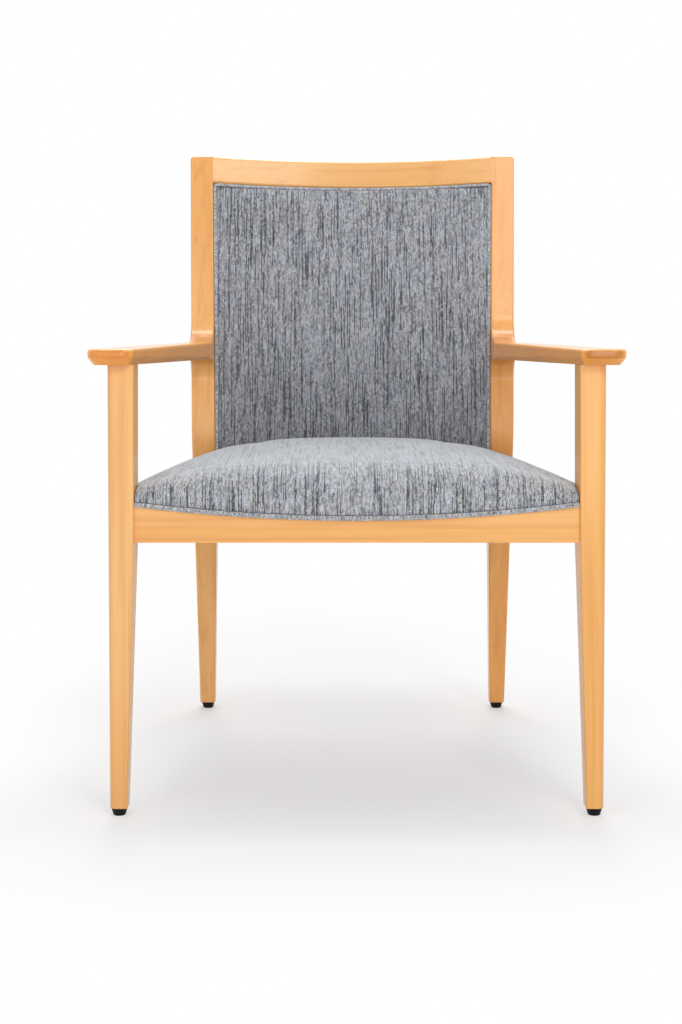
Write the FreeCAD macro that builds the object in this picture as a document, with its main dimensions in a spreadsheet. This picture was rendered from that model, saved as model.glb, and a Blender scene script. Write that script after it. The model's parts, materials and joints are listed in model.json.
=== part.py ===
import FreeCAD, Part
import math
import os
from dataclasses import dataclass

import Sketcher

# An upholstered guest armchair: a dowelled hardwood frame with an upholstered seat and back.
# Millimetres. +X to the right as seen from the front, +Y to the back, +Z up.
# The origin is on the floor, under the middle of the chair.

SIZES = {
    # Fits between neighbouring pieces
    "fit_gap": 0.3,
    "glue_gap": 0.1,
    # Glides under the feet, and the nails moulded into them
    "glide_height": 10,
    "glide_top_radius": 10.8,
    "glide_floor_radius": 7.6,
    "nail_radius": 1.3,
    "nail_head_radius": 4,
    "nail_head_height": 1.5,
    "nail_head_lift": 3,
    "nail_reach": 26,
    # Front legs
    "leg_width": 34,
    "leg_depth": 45,
    "leg_foot_width": 22.5,
    "leg_foot_depth": 24,
    "leg_outer_taper": 3.8,
    "taper_drop": 5.4,
    "leg_front_round": 9,
    # Back posts
    "overall_height": 880,
    "post_gap_top": 444.5,
    "post_gap_seat": 426,
    "post_width": 36,
    "post_foot_width": 23.5,
    "post_foot_depth": 24,
    "post_bend_depth": 42,
    "post_top_depth": 30,
    "post_foot_rake": 63,
    "bend_height": 440,
    "bend_round": 160,
    "back_lean": 9,
    "post_top_round": 6,
    "knuckle_reach": 45,
    "cove_above": 50,
    "cove_below": 30,
    # Arms
    "overall_width": 676,
    "arm_top": 585,
    "arm_front_width": 58.7,
    "arm_overhang": 25,
    "arm_front_thickness": 19.5,
    "arm_rear_thickness": 26,
    "arm_front_bevel": 9.5,
    "arm_rear_bevel": 2.5,
    "arm_inner_bevel": 5,
    "arm_bow": 5,
    "arm_bow_round": 4000,
    "arm_outer_corner": 16,
    "arm_inner_corner": 15,
    "arm_rim_round": 4,
    "arm_nose_round": 6,
    "edge_round": 2.5,
    "taper_round": 300,
    # Seat frame
    "seat_depth": 475,
    "rail_bottom": 342,
    "rail_height": 45,
    "rail_scoop": 17.5,
    "rail_setback": 5,
    "front_rail_thickness": 22,
    "side_rail_thickness": 20,
    "side_rail_setback": 2,
    "rear_rail_thickness": 22,
    "rear_rail_setback": 10,
    "block_height": 22,
    "block_lift": 10,
    "block_leg": 62,
    "block_corner_cut": 30,
    "block_rear_leg": 77,
    # Curved rails of the back
    "back_sag": 34,
    "crest_height": 43,
    "crest_thickness": 27,
    "crest_round": 4,
    "lower_rail_height": 44,
    "lower_rail_thickness": 17,
    "lower_rail_lift": 2,
    # Dowels
    "dowel_radius": 4,
    "dowel_depth": 16,
    "dowel_end_gap": 1,
    "dowel_pitch": 22,
    "dowel_close_pitch": 11,
    "dowel_arm_pitch": 9,
    "crest_dowel_depth": 16,
    "lower_dowel_depth": 10,
    # Screws and bolts
    "screw_radius": 2,
    "screw_head_radius": 4,
    "screw_head_height": 2.5,
    "screw_bite": 14,
    "screw_grip": 12,
    "screw_from_corner": 34,
    "screw_up_side": 40,
    "screw_from_cut": 16,
    "board_screw_bite": 7,
    "board_screw_spread": 120,
    "bolt_radius": 3,
    "bolt_head_radius": 6.5,
    "bolt_head_height": 3.5,
    "bolt_end_gap": 1,
    "bolt_from_leg": 16,
    "bolt_from_rail": 20,
    "rear_bolt_from_side": 26,
    "rear_bolt_from_rail": 30,
    "tee_nut_radius": 4.2,
    "tee_nut_length": 7,
    "tee_nut_flange_radius": 9,
    "tee_nut_flange_height": 1.2,
    "tee_nut_sink": 3,
    # Seat upholstery
    "deck_thickness": 12,
    "cover_thickness": 1.6,
    "seat_wall_height": 14,
    "seat_wall_middle": 19,
    "seat_shoulder_height": 18,
    "seat_shoulder_middle": 50,
    "seat_edge_height": 19.5,
    "seat_crown_height": 56,
    "seat_shoulder_reach": 32,
    "seat_fullness": 3.4,
    "seat_rear_gap": 6,
    "seat_back_gap": 3.6,
    "seat_welt_radius": 2.75,
    "dust_cover_thickness": 0.8,
    "dust_cover_margin": 3,
    # Back upholstery
    "board_thickness": 9,
    "board_setback": 12,
    "board_tongue": 8,
    "back_bottom_rise": 27,
    "back_crown": 8,
    "back_bulge": 2,
    "back_edge_setback": 1,
    "back_wall_depth": 5,
    "back_shoulder_reach": 24,
    "back_fullness": 3.2,
    "back_welt_radius": 2.3,
    "outside_board_thickness": 3,
}

LEFT = -1
RIGHT = 1
SIDES = {"left": LEFT, "right": RIGHT}
UP = FreeCAD.Vector(0, 0, 1)

# How near a point is to a plane to count as on it, and how nearly an edge runs along an axis
NEAR = 0.01
ALONG = 0.9
STRAIGHT = 0.99

doc = FreeCAD.newDocument("armchair")
sheet = doc.addObject("Spreadsheet::Sheet", "sizes")
for row, (alias, size) in enumerate(SIZES.items(), start=1):
    sheet.set(f"A{row}", alias)
    sheet.set(f"B{row}", str(size))
    sheet.setAlias(f"B{row}", alias)
doc.recompute()


class Formula:
    """A length or angle worked out from the sheet, kept as the text that a property is bound to."""

    def __init__(self, text):
        self.text = str(text)

    def __str__(self):
        return self.text

    def __float__(self):
        return float(sheet.evalExpression(self.text))

    def __add__(self, other):
        return Formula(f"({self} + {other})")

    def __sub__(self, other):
        return Formula(f"({self} - {other})")

    def __mul__(self, other):
        return Formula(f"({self} * {other})")

    def __truediv__(self, other):
        return Formula(f"({self} / {other})")

    def __radd__(self, other):
        return Formula(f"({other} + {self})")

    def __rsub__(self, other):
        return Formula(f"({other} - {self})")

    def __rmul__(self, other):
        return Formula(f"({other} * {self})")

    def __neg__(self):
        return Formula(f"(-1 * {self})")


class Sizes:
    """The cells of the sheet, by their names."""

    def __getattr__(self, alias):
        return Formula(f"sizes.{alias}")


S = Sizes()
ZERO = Formula(0)
LEAN_SIN = Formula(f"sin({S.back_lean} * 1 deg)")
LEAN_COS = Formula(f"cos({S.back_lean} * 1 deg)")
LEAN_TAN = Formula(f"tan({S.back_lean} * 1 deg)")

# Places along Y. The depth runs from the arm fronts to the rounded upper edge at the back of the crest rail.
BACK_RISE = S.overall_height - S.bend_height
CREST_REACH = (S.crest_thickness + S.back_sag - S.crest_round) * LEAN_COS + S.crest_round
CREST_SET_BACK = (BACK_RISE / LEAN_COS - S.crest_round) * LEAN_SIN + CREST_REACH
OVERALL_DEPTH = S.arm_overhang + S.seat_depth + CREST_SET_BACK
ARM_FRONT = OVERALL_DEPTH / -2
LEG_FRONT = ARM_FRONT + S.arm_overhang
LEG_BACK = LEG_FRONT + S.leg_depth
BEND_FRONT = LEG_FRONT + S.seat_depth
BEND_BACK = BEND_FRONT + S.post_bend_depth
FOOT_FRONT = BEND_FRONT + S.post_foot_rake
FOOT_BACK = FOOT_FRONT + S.post_foot_depth
RAIL_FRONT = LEG_FRONT + S.rail_setback
RAIL_BACK = RAIL_FRONT + S.front_rail_thickness

# Places along X, as distances from the middle plane
LEG_IN = S.overall_width / 2 - S.arm_front_width
LEG_OUT = LEG_IN + S.leg_width
LEG_FOOT_OUT = LEG_OUT - S.leg_outer_taper
LEG_FOOT_IN = LEG_FOOT_OUT - S.leg_foot_width

# Places along Z
RAIL_TOP = S.rail_bottom + S.rail_height
TAPER_START = S.rail_bottom - S.taper_drop


def leaning_front(height):
    """Y of the front faces of the posts above the bend."""
    return BEND_FRONT + (height - S.bend_height) * LEAN_TAN


def raking_front(height):
    """Y of the front faces of the posts below the bend."""
    rake = S.post_foot_rake / (S.bend_height - S.glide_height)
    return BEND_FRONT + (S.bend_height - height) * rake


def post_inside(height):
    """Distance of the inner faces of the posts from the middle plane, which grows with height."""
    flare = (S.post_gap_top - S.post_gap_seat) / 2 / (S.overall_height - RAIL_TOP)
    return S.post_gap_seat / 2 + (height - RAIL_TOP) * flare


def post_outside(height):
    """Distance of the outer faces of the posts from the middle plane."""
    return post_inside(height) + S.post_width


KNUCKLE_FRONT = leaning_front(S.arm_top) - S.knuckle_reach
ARM_LENGTH = KNUCKLE_FRONT - ARM_FRONT
ARM_SLOPE = (S.arm_rear_thickness - S.arm_front_thickness) / ARM_LENGTH
POST_FOOT_IN = post_outside(S.glide_height) - S.post_foot_width
REAR_RAIL_FRONT = raking_front(RAIL_TOP) + S.rear_rail_setback
SIDE_RAIL_REAR = raking_front(RAIL_TOP)
SIDE_RAIL_OUT_FRONT = LEG_IN + S.side_rail_thickness
SIDE_RAIL_OUT_REAR = post_outside(RAIL_TOP) - S.side_rail_setback
SIDE_RAIL_SLOPE = (SIDE_RAIL_OUT_FRONT - SIDE_RAIL_OUT_REAR) / (SIDE_RAIL_REAR - LEG_BACK)
CREST_BOTTOM = BACK_RISE / LEAN_COS - S.crest_height
BOARD_BACK = S.board_setback + S.board_thickness + S.fit_gap
BACK_BOTTOM = (RAIL_TOP + S.back_bottom_rise - S.bend_height) / LEAN_COS
LOWER_RAIL_BOTTOM = BACK_BOTTOM + S.lower_rail_lift
LOWER_RAIL_MIDDLE = LOWER_RAIL_BOTTOM + S.lower_rail_height / 2
LOWER_RAIL_TOP = LOWER_RAIL_BOTTOM + S.lower_rail_height
BACK_SPAN = post_inside(S.overall_height)
BACK_RADIUS = Formula(f"(({BACK_SPAN} ^ 2 + {S.back_sag} ^ 2) / (2 * {S.back_sag}))")
BLOCK_BOTTOM = S.rail_bottom + S.block_lift
SEAT_REAR = raking_front(RAIL_TOP) - S.seat_rear_gap
BACK_FOOT = BEND_FRONT + BACK_BOTTOM * LEAN_SIN + S.back_sag * LEAN_COS
SEAT_REAR_BOW = BACK_FOOT - S.seat_back_gap - SEAT_REAR
TEE_NUT_TOP = RAIL_TOP + S.deck_thickness - S.tee_nut_sink


def arm_underside(along):
    """Height of the sloping underside of an arm."""
    return S.arm_top - S.arm_front_thickness - (along - ARM_FRONT) * ARM_SLOPE


def side_rail_outside(along):
    """Distance of the outer face of a side rail from the middle plane."""
    return SIDE_RAIL_OUT_FRONT - (along - LEG_BACK) * SIDE_RAIL_SLOPE


def side_rail_inside(along):
    """Distance of the inner face of a side rail from the middle plane."""
    return side_rail_outside(along) - S.side_rail_thickness


def lean_place(up, back):
    """Y and Z of a place given along the lean of the back and square to it, behind its front face."""
    along = BEND_FRONT + up * LEAN_SIN + back * LEAN_COS
    height = S.bend_height + up * LEAN_COS - back * LEAN_SIN
    return along, height


def sag(across):
    """How far the curved back lies behind its two ends, at a distance from the middle plane."""
    return Formula(f"(sqrt({BACK_RADIUS} ^ 2 - ({across}) ^ 2) - {BACK_RADIUS} + {S.back_sag})")


@dataclass
class Corner:
    """A corner of an outline, its rounding, and the rise of the arc that leaves it to the left."""

    across: Formula
    up: Formula
    rounding: Formula = None
    rise: Formula = None

    def point(self):
        return FreeCAD.Vector(float(self.across), float(self.up), 0)


def new_body(label):
    """An empty body for one piece."""
    body = doc.addObject("PartDesign::Body", label)
    body.Label = label
    return body


def attach(sketch, body, role, offset, tilt):
    """Put a sketch on an origin plane of its body, shifted, and tipped about X by an angle."""
    plane = next(feature for feature in body.Origin.OriginFeatures if feature.Role == role)
    sketch.AttachmentSupport = [(plane, "")]
    sketch.MapMode = "FlatFace"
    if tilt is not None:
        turn = FreeCAD.Rotation(FreeCAD.Vector(-1, 0, 0), float(tilt))
        sketch.AttachmentOffset = FreeCAD.Placement(FreeCAD.Vector(), turn)
        sketch.setExpression("AttachmentOffset.Rotation.Angle", f"{tilt} * 1 deg")
    for axis, shift in zip("xyz", offset):
        sketch.setExpression(f"AttachmentOffset.Base.{axis}", f"{shift} * 1 mm")


def bind_point(sketch, geometry, end, corner):
    """Hold one point of a sketch at the place that a corner gives."""
    for kind, formula in (("DistanceX", corner.across), ("DistanceY", corner.up)):
        held = Sketcher.Constraint(kind, -1, 1, geometry, end, float(formula))
        index = sketch.addConstraint(held)
        sketch.setExpression(f"Constraints[{index}]", str(formula))


def bind_radius(sketch, geometry, formula):
    """Hold the radius of an arc of a sketch."""
    index = sketch.addConstraint(Sketcher.Constraint("Radius", geometry, float(formula)))
    sketch.setExpression(f"Constraints[{index}]", str(formula))


def rounding_arc(before, corner, after):
    """The arc that rounds a corner, its two ends, and whether it runs from the first to the second."""
    radius = float(corner.rounding)
    middle = corner.point()
    back = (before - middle).normalize()
    ahead = (after - middle).normalize()
    half = back.getAngle(ahead) / 2
    first = middle + back * (radius / math.tan(half))
    second = middle + ahead * (radius / math.tan(half))
    centre = middle + (back + ahead).normalize() * (radius / math.sin(half))
    circle = Part.Circle(centre, UP, radius)
    onward = back.cross(ahead).z < 0
    start, stop = (first, second) if onward else (second, first)
    arc = Part.ArcOfCircle(circle, circle.parameter(start), circle.parameter(stop))
    return arc, first, second, onward


def outline(body, name, role, corners, offset=(ZERO, ZERO, ZERO), tilt=None):
    """A closed outline of lines and arcs whose corners and radii follow the sheet."""
    sketch = body.newObject("Sketcher::SketchObject", name)
    attach(sketch, body, role, offset, tilt)
    count = len(corners)
    points = [corner.point() for corner in corners]
    starts = list(points)
    ends = list(points)
    arcs = {}
    for i, corner in enumerate(corners):
        if corner.rounding is not None:
            arc, ends[i], starts[i], onward = rounding_arc(points[i - 1], corner, points[(i + 1) % count])
            arcs[i] = (sketch.addGeometry(arc, False), onward)
    edges = []
    for i, corner in enumerate(corners):
        first, second = starts[i], ends[(i + 1) % count]
        if corner.rise is None:
            edges.append((sketch.addGeometry(Part.LineSegment(first, second), False), True))
            continue
        rise = float(corner.rise)
        middle = (first + second) / 2 + (second - first).cross(UP).normalize() * -rise
        arc = Part.Arc(first, middle, second)
        edges.append((sketch.addGeometry(arc, False), rise < 0))
        chord_length = corners[(i + 1) % count].across - corner.across
        square = Formula(f"(({chord_length}) ^ 2 / 4 + ({corner.rise}) ^ 2)")
        bind_radius(sketch, edges[-1][0], Formula(f"({square} / (2 * abs({corner.rise})))"))
    for i, corner in enumerate(corners):
        leaving, leaving_onward = edges[i]
        arriving, arriving_onward = edges[i - 1]
        start = 1 if leaving_onward else 2
        end = 2 if arriving_onward else 1
        if i not in arcs:
            sketch.addConstraint(Sketcher.Constraint("Coincident", arriving, end, leaving, start))
            bind_point(sketch, leaving, start, corner)
            continue
        arc, onward = arcs[i]
        mark = sketch.addGeometry(Part.Point(points[i]), True)
        bind_point(sketch, mark, 1, corner)
        sketch.addConstraint(Sketcher.Constraint("PointOnObject", mark, 1, arriving))
        sketch.addConstraint(Sketcher.Constraint("PointOnObject", mark, 1, leaving))
        sketch.addConstraint(Sketcher.Constraint("Tangent", arriving, end, arc, 1 if onward else 2))
        sketch.addConstraint(Sketcher.Constraint("Tangent", arc, 2 if onward else 1, leaving, start))
        bind_radius(sketch, arc, corner.rounding)
    return sketch


def pad(body, sketch, length, symmetric=True):
    """Give a sketch a thickness, to both sides of its plane or to one."""
    feature = body.newObject("PartDesign::Pad", f"{body.Name}_pad")
    feature.Profile = sketch
    feature.setExpression("Length", str(length))
    feature.SideType = "Symmetric" if symmetric else "One side"
    return feature


def trim(body, name, role, corners):
    """Cut an outline right through a body, along the normal of an origin plane."""
    doc.recompute()
    before = body.Shape.Volume
    sketch = outline(body, name, role, corners)
    feature = body.newObject("PartDesign::Pocket", f"{name}_cut")
    feature.Profile = sketch
    feature.SideType = "Symmetric"
    feature.Type = "ThroughAll"
    doc.recompute()
    if not body.Shape.Volume < before:
        raise RuntimeError(f"{name} cut nothing from {body.Label}")


def round_edges(body, name, radius, wanted):
    """Round the edges of a body whose middle point and direction pass a test."""
    doc.recompute()
    base = body.Tip
    names = []
    for index, edge in enumerate(base.Shape.Edges, start=1):
        middle = (edge.FirstParameter + edge.LastParameter) / 2
        if wanted(edge.valueAt(middle), edge.tangentAt(middle)):
            names.append(f"Edge{index}")
    feature = body.newObject("PartDesign::Fillet", name)
    feature.Base = (base, names)
    feature.setExpression("Radius", str(radius))
    doc.recompute()


def place(thing, base):
    """Bind the place of a solid to the sheet."""
    for axis, formula in zip("xyz", base):
        thing.setExpression(f"Placement.Base.{axis}", f"{formula} * 1 mm")


# Turns that carry Z to an axis. The axis called back is square to the leaning back.
TURNS = {
    "x": (FreeCAD.Vector(0, 1, 0), Formula(90)),
    "y": (FreeCAD.Vector(-1, 0, 0), Formula(90)),
    "z": (FreeCAD.Vector(-1, 0, 0), ZERO),
    "back": (FreeCAD.Vector(-1, 0, 0), S.back_lean + 90),
}
AXES = {
    "x": (Formula(1), ZERO, ZERO),
    "y": (ZERO, Formula(1), ZERO),
    "z": (ZERO, ZERO, Formula(1)),
    "back": (ZERO, LEAN_COS, -LEAN_SIN),
}


def rod(name, base, axis, radius, length):
    """A round bar from its base along an axis."""
    solid = doc.addObject("Part::Cylinder", name)
    solid.Label = name
    about, angle = TURNS[axis]
    solid.Placement = FreeCAD.Placement(FreeCAD.Vector(), FreeCAD.Rotation(about, float(angle)))
    solid.setExpression("Radius", str(radius))
    solid.setExpression("Height", str(length))
    if axis == "back":
        solid.setExpression("Placement.Rotation.Angle", f"{angle} * 1 deg")
    place(solid, base)
    return solid


def shifted(base, axis, distance):
    """A place moved along an axis."""
    return tuple(start + distance * share for start, share in zip(base, AXES[axis]))


def reach_rod(name, face, axis, side, start, stop, radius):
    """A round bar between two distances from a face, counted to one side of it."""
    low = start if side == RIGHT else -stop
    return rod(name, shifted(face, axis, low), axis, radius, stop - start)


def fused(label, members):
    """Several touching solids as one."""
    fusion = doc.addObject("Part::MultiFuse", label)
    fusion.Label = label
    fusion.Shapes = members
    return fusion


def group(label, members):
    """Several separate solids as one piece."""
    compound = doc.addObject("Part::Compound", label)
    compound.Label = label
    compound.Links = members
    return compound


def drilled(label, blank, holes):
    """A piece with its holes cut."""
    cut = doc.addObject("Part::Cut", label)
    cut.Label = label
    cut.Base = blank
    cut.Tool = group(f"{label}_holes", holes)
    return cut


def shaped(label, shape):
    """A piece whose shape is worked out from the sheet here."""
    feature = doc.addObject("Part::Feature", label)
    feature.Label = label
    feature.Shape = shape
    feature.Placement = FreeCAD.Placement()
    return feature


class Joint:
    """The dowels of one group of joints, and the holes that they need in the pieces."""

    def __init__(self, label):
        self.label = label
        self.dowels = []

    def add(self, base, axis):
        """Put a dowel across a joint face and return the hole for it."""
        count = len(self.dowels) + 1
        start = shifted(base, axis, -S.dowel_depth)
        self.dowels.append(rod(f"{self.label}_{count}", start, axis, S.dowel_radius, S.dowel_depth * 2))
        hole_start = shifted(start, axis, -S.dowel_end_gap)
        hole_radius = S.dowel_radius + S.glue_gap
        hole_length = (S.dowel_depth + S.dowel_end_gap) * 2
        return rod(f"{self.label}_hole_{count}", hole_start, axis, hole_radius, hole_length)

    def finish(self):
        """All dowels of the group as one piece."""
        return group(self.label, self.dowels)


# Wooden frame

def front_leg_blank(label, side):
    """A front leg: a plain post above the seat rail, tapered to its foot below it."""
    body = new_body(f"{label}_blank")
    profile = outline(body, f"{label}_side", "YZ_Plane", [
        Corner(LEG_FRONT, S.glide_height),
        Corner(LEG_FRONT + S.leg_foot_depth, S.glide_height),
        Corner(LEG_BACK, TAPER_START, rounding=S.taper_round),
        Corner(LEG_BACK, arm_underside(LEG_BACK)),
        Corner(LEG_FRONT, arm_underside(LEG_FRONT)),
    ], offset=(ZERO, ZERO, side * (LEG_IN + LEG_OUT) / 2))
    pad(body, profile, S.leg_width)
    trim(body, f"{label}_outer_taper", "XZ_Plane", [
        Corner(side * LEG_OUT, S.arm_top),
        Corner(side * LEG_FOOT_OUT, S.glide_height),
        Corner(side * (LEG_OUT + S.leg_width), S.glide_height),
        Corner(side * (LEG_OUT + S.leg_width), S.arm_top),
    ])
    trim(body, f"{label}_inner_taper", "XZ_Plane", [
        Corner(side * LEG_IN, TAPER_START),
        Corner(side * LEG_IN, S.glide_height),
        Corner(side * LEG_FOOT_IN, S.glide_height),
    ])
    middle = float(LEG_IN + LEG_OUT) / 2
    front = float(LEG_FRONT)

    def upright(tangent):
        return abs(tangent.z) > ALONG

    def outer_front(point, tangent):
        return upright(tangent) and abs(point.y - front) < NEAR and abs(point.x) > middle

    round_edges(body, f"{label}_front_round", S.leg_front_round, outer_front)

    def inner_front(point, tangent):
        return upright(tangent) and abs(point.y - front) < NEAR and abs(point.x) < middle

    round_edges(body, f"{label}_edge_round", S.edge_round, inner_front)
    return body


def back_post_blank(label, side):
    """A back post: raked below the seat, leaning above it, with a knuckle that meets the arm."""
    body = new_body(f"{label}_blank")
    arm_bottom = S.arm_top - S.arm_rear_thickness
    top_front = leaning_front(S.overall_height)
    middle = (post_inside(RAIL_TOP) + post_outside(RAIL_TOP)) / 2
    profile = outline(body, f"{label}_side", "YZ_Plane", [
        Corner(FOOT_FRONT, S.glide_height),
        Corner(FOOT_BACK, S.glide_height),
        Corner(BEND_BACK, S.bend_height, rounding=S.bend_round),
        Corner(top_front + S.post_top_depth, S.overall_height),
        Corner(top_front, S.overall_height),
        Corner(leaning_front(S.arm_top), S.arm_top, rounding=S.cove_above),
        Corner(KNUCKLE_FRONT, S.arm_top),
        Corner(KNUCKLE_FRONT, arm_bottom),
        Corner(leaning_front(arm_bottom), arm_bottom, rounding=S.cove_below),
        Corner(BEND_FRONT, S.bend_height, rounding=S.bend_round),
    ], offset=(ZERO, ZERO, side * middle))
    pad(body, profile, S.post_width * 2)
    near = middle - S.post_width
    far = middle + S.post_width
    inner_face = [
        Corner(side * post_inside(S.overall_height), S.overall_height),
        Corner(side * post_inside(TAPER_START), TAPER_START, rounding=S.taper_round),
        Corner(side * POST_FOOT_IN, S.glide_height),
        Corner(side * near, S.glide_height),
        Corner(side * near, S.overall_height),
    ]
    trim(body, f"{label}_inner_face", "XZ_Plane", inner_face)
    trim(body, f"{label}_outer_face", "XZ_Plane", [
        Corner(side * post_outside(S.overall_height), S.overall_height),
        Corner(side * post_outside(S.glide_height), S.glide_height),
        Corner(side * far, S.glide_height),
        Corner(side * far, S.overall_height),
    ])
    foot = float(S.glide_height)
    top = float(S.overall_height)
    knuckle = float(KNUCKLE_FRONT)
    inside_top = float(post_inside(S.overall_height))
    bend = float(S.bend_height)

    def shown(point, tangent):
        ends = abs(point.z - foot) < NEAR or abs(point.y - knuckle) < NEAR
        joint = abs(point.z - top) < NEAR and abs(abs(point.x) - inside_top) < NEAR
        seam = abs(tangent.y) > STRAIGHT and point.z < bend
        across = abs(tangent.x) > ALONG and point.z < top - NEAR
        return not (ends or joint or seam or across)

    def outer_top(point, tangent):
        return abs(point.z - top) < NEAR and abs(tangent.y) > ALONG and abs(point.x) > inside_top + NEAR

    round_edges(body, f"{label}_top_round", S.post_top_round, outer_top)
    round_edges(body, f"{label}_edge_round", S.edge_round, shown)

    # A square land in place of the rounding, where the crest rail meets the post
    land_bottom = S.bend_height + CREST_BOTTOM * LEAN_COS
    land_top = S.overall_height - S.edge_round
    land_size = S.edge_round * 2
    land = outline(body, f"{label}_land", "YZ_Plane", [
        Corner(leaning_front(land_bottom), land_bottom),
        Corner(leaning_front(land_bottom) + land_size, land_bottom),
        Corner(leaning_front(land_top) + land_size, land_top),
        Corner(leaning_front(land_top), land_top),
    ], offset=(ZERO, ZERO, side * post_inside(land_bottom)))
    pad(body, land, land_size * 2)
    trim(body, f"{label}_land_face", "XZ_Plane", inner_face)
    return body


def arm_blank(label, side):
    """An arm: a paddle, level on top, thicker to the back, with a bevel underneath that fades."""
    body = new_body(f"{label}_blank")
    rear_in = post_inside(S.arm_top)
    rear_out = post_outside(S.arm_top)
    front_out = S.overall_width / 2
    middle_out = (rear_out + front_out) / 2 + S.arm_bow
    middle_along = (ARM_FRONT + KNUCKLE_FRONT) / 2

    def plan(name, front, rear, inner, drop_front, drop_rear):
        """The outline at one level, drawn in from the edges, with that level's fall to the back."""
        tilt = Formula(f"(atan(({drop_rear} - {drop_front}) / {ARM_LENGTH}) / 1 deg)")
        stretch = Formula(f"(1 / cos({tilt} * 1 deg))")
        level = S.arm_top - drop_front
        return outline(body, name, "XY_Plane", [
            Corner(side * (rear_in + rear), ARM_LENGTH * stretch),
            Corner(side * (rear_out - rear), ARM_LENGTH * stretch),
            Corner(side * (middle_out - (front + rear) / 2), (middle_along - ARM_FRONT) * stretch,
                   rounding=S.arm_bow_round),
            Corner(side * (front_out - front), front, rounding=S.arm_outer_corner - front),
            Corner(side * (LEG_IN + inner), front, rounding=S.arm_inner_corner - inner),
        ], offset=(ZERO, ARM_FRONT, level), tilt=tilt)

    underside = plan(f"{label}_underside", S.arm_front_bevel, S.arm_rear_bevel, S.arm_inner_bevel,
                     S.arm_front_thickness, S.arm_rear_thickness)
    shoulder = plan(f"{label}_shoulder", ZERO, ZERO, ZERO,
                    S.arm_front_thickness - S.arm_front_bevel, S.arm_rear_thickness - S.arm_rear_bevel)
    surface = plan(f"{label}_surface", ZERO, ZERO, ZERO, ZERO, ZERO)
    loft = body.newObject("PartDesign::AdditiveLoft", f"{label}_loft")
    loft.Profile = surface
    loft.Sections = [shoulder, underside]
    loft.Ruled = True
    doc.recompute()
    top = float(S.arm_top)
    rear = float(KNUCKLE_FRONT)

    def top_rim(point, tangent):
        return abs(point.z - top) < NEAR and point.y < rear - NEAR

    front_band = S.arm_front_thickness - S.arm_front_bevel
    rear_band = S.arm_rear_thickness - S.arm_rear_bevel
    slope = float((rear_band - front_band) / ARM_LENGTH)
    nose = float(S.arm_top - front_band)
    front = float(ARM_FRONT)

    def shoulder_rim(point, tangent):
        level = nose - (point.y - front) * slope
        return abs(point.z - level) < NEAR and point.y < rear - NEAR

    round_edges(body, f"{label}_nose_round", S.arm_nose_round, shoulder_rim)
    round_edges(body, f"{label}_rim_round", S.arm_rim_round, top_rim)
    return body


def curved_panel(label, front, thickness, bottom, height, side_gap=None):
    """A band curved in plan and leaning with the back, its ends cut to the posts where a gap is given."""
    body = new_body(label)
    span = BACK_SPAN + S.edge_round
    rise = S.back_sag - sag(span)
    front_end = front + sag(span)
    rear_end = front_end + thickness
    profile = outline(body, f"{label}_plan", "XY_Plane", [
        Corner(-span, front_end, rise=rise),
        Corner(span, front_end),
        Corner(span, rear_end, rise=-rise),
        Corner(-span, rear_end),
    ], offset=(ZERO, BEND_FRONT + bottom * LEAN_SIN, S.bend_height + bottom * LEAN_COS), tilt=S.back_lean)
    pad(body, profile, height, symmetric=False)
    if side_gap is not None:
        trim_ends(body, side_gap)
    return body


def trim_ends(body, side_gap):
    """Cut the ends of a curved band to the slope of the posts."""
    low = RAIL_TOP
    high = S.overall_height + S.post_width
    far = BACK_SPAN + S.post_width
    for name, side in SIDES.items():
        trim(body, f"{body.Label}_{name}_end", "XZ_Plane", [
            Corner(side * (post_inside(low) - side_gap), low),
            Corner(side * (post_inside(high) - side_gap), high),
            Corner(side * far, high),
            Corner(side * far, low),
        ])


def front_seat_rail_blank():
    """The front rail, straight below, its top edge scooped for the seat."""
    body = new_body("front_seat_rail_blank")
    profile = outline(body, "front_seat_rail_face", "XZ_Plane", [
        Corner(-LEG_IN, S.rail_bottom),
        Corner(LEG_IN, S.rail_bottom),
        Corner(LEG_IN, RAIL_TOP, rise=S.rail_scoop),
        Corner(-LEG_IN, RAIL_TOP),
    ], offset=(ZERO, ZERO, -(RAIL_FRONT + RAIL_BACK) / 2))
    pad(body, profile, S.front_rail_thickness)
    return body


def rear_seat_rail_blank():
    """The rear rail, its ends cut to the slope of the posts."""
    body = new_body("rear_seat_rail_blank")
    middle = REAR_RAIL_FRONT + S.rear_rail_thickness / 2
    profile = outline(body, "rear_seat_rail_face", "XZ_Plane", [
        Corner(-post_inside(S.rail_bottom), S.rail_bottom),
        Corner(post_inside(S.rail_bottom), S.rail_bottom),
        Corner(post_inside(RAIL_TOP), RAIL_TOP),
        Corner(-post_inside(RAIL_TOP), RAIL_TOP),
    ], offset=(ZERO, ZERO, -middle))
    pad(body, profile, S.rear_rail_thickness)
    return body


def side_rail_blank(label, side):
    """A side rail, square against the leg and cut to the rake of the post."""
    body = new_body(f"{label}_blank")
    rear = raking_front(S.rail_bottom)
    profile = outline(body, f"{label}_plan", "XY_Plane", [
        Corner(side * SIDE_RAIL_OUT_FRONT, LEG_BACK),
        Corner(side * side_rail_outside(rear), rear),
        Corner(side * (side_rail_outside(rear) - S.side_rail_thickness), rear),
        Corner(side * LEG_IN, LEG_BACK),
    ], offset=(ZERO, ZERO, S.rail_bottom))
    pad(body, profile, S.rail_height, symmetric=False)
    trim(body, f"{label}_rear_end", "YZ_Plane", [
        Corner(rear, S.rail_bottom),
        Corner(SIDE_RAIL_REAR, RAIL_TOP),
        Corner(rear, RAIL_TOP),
    ])
    return body


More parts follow.
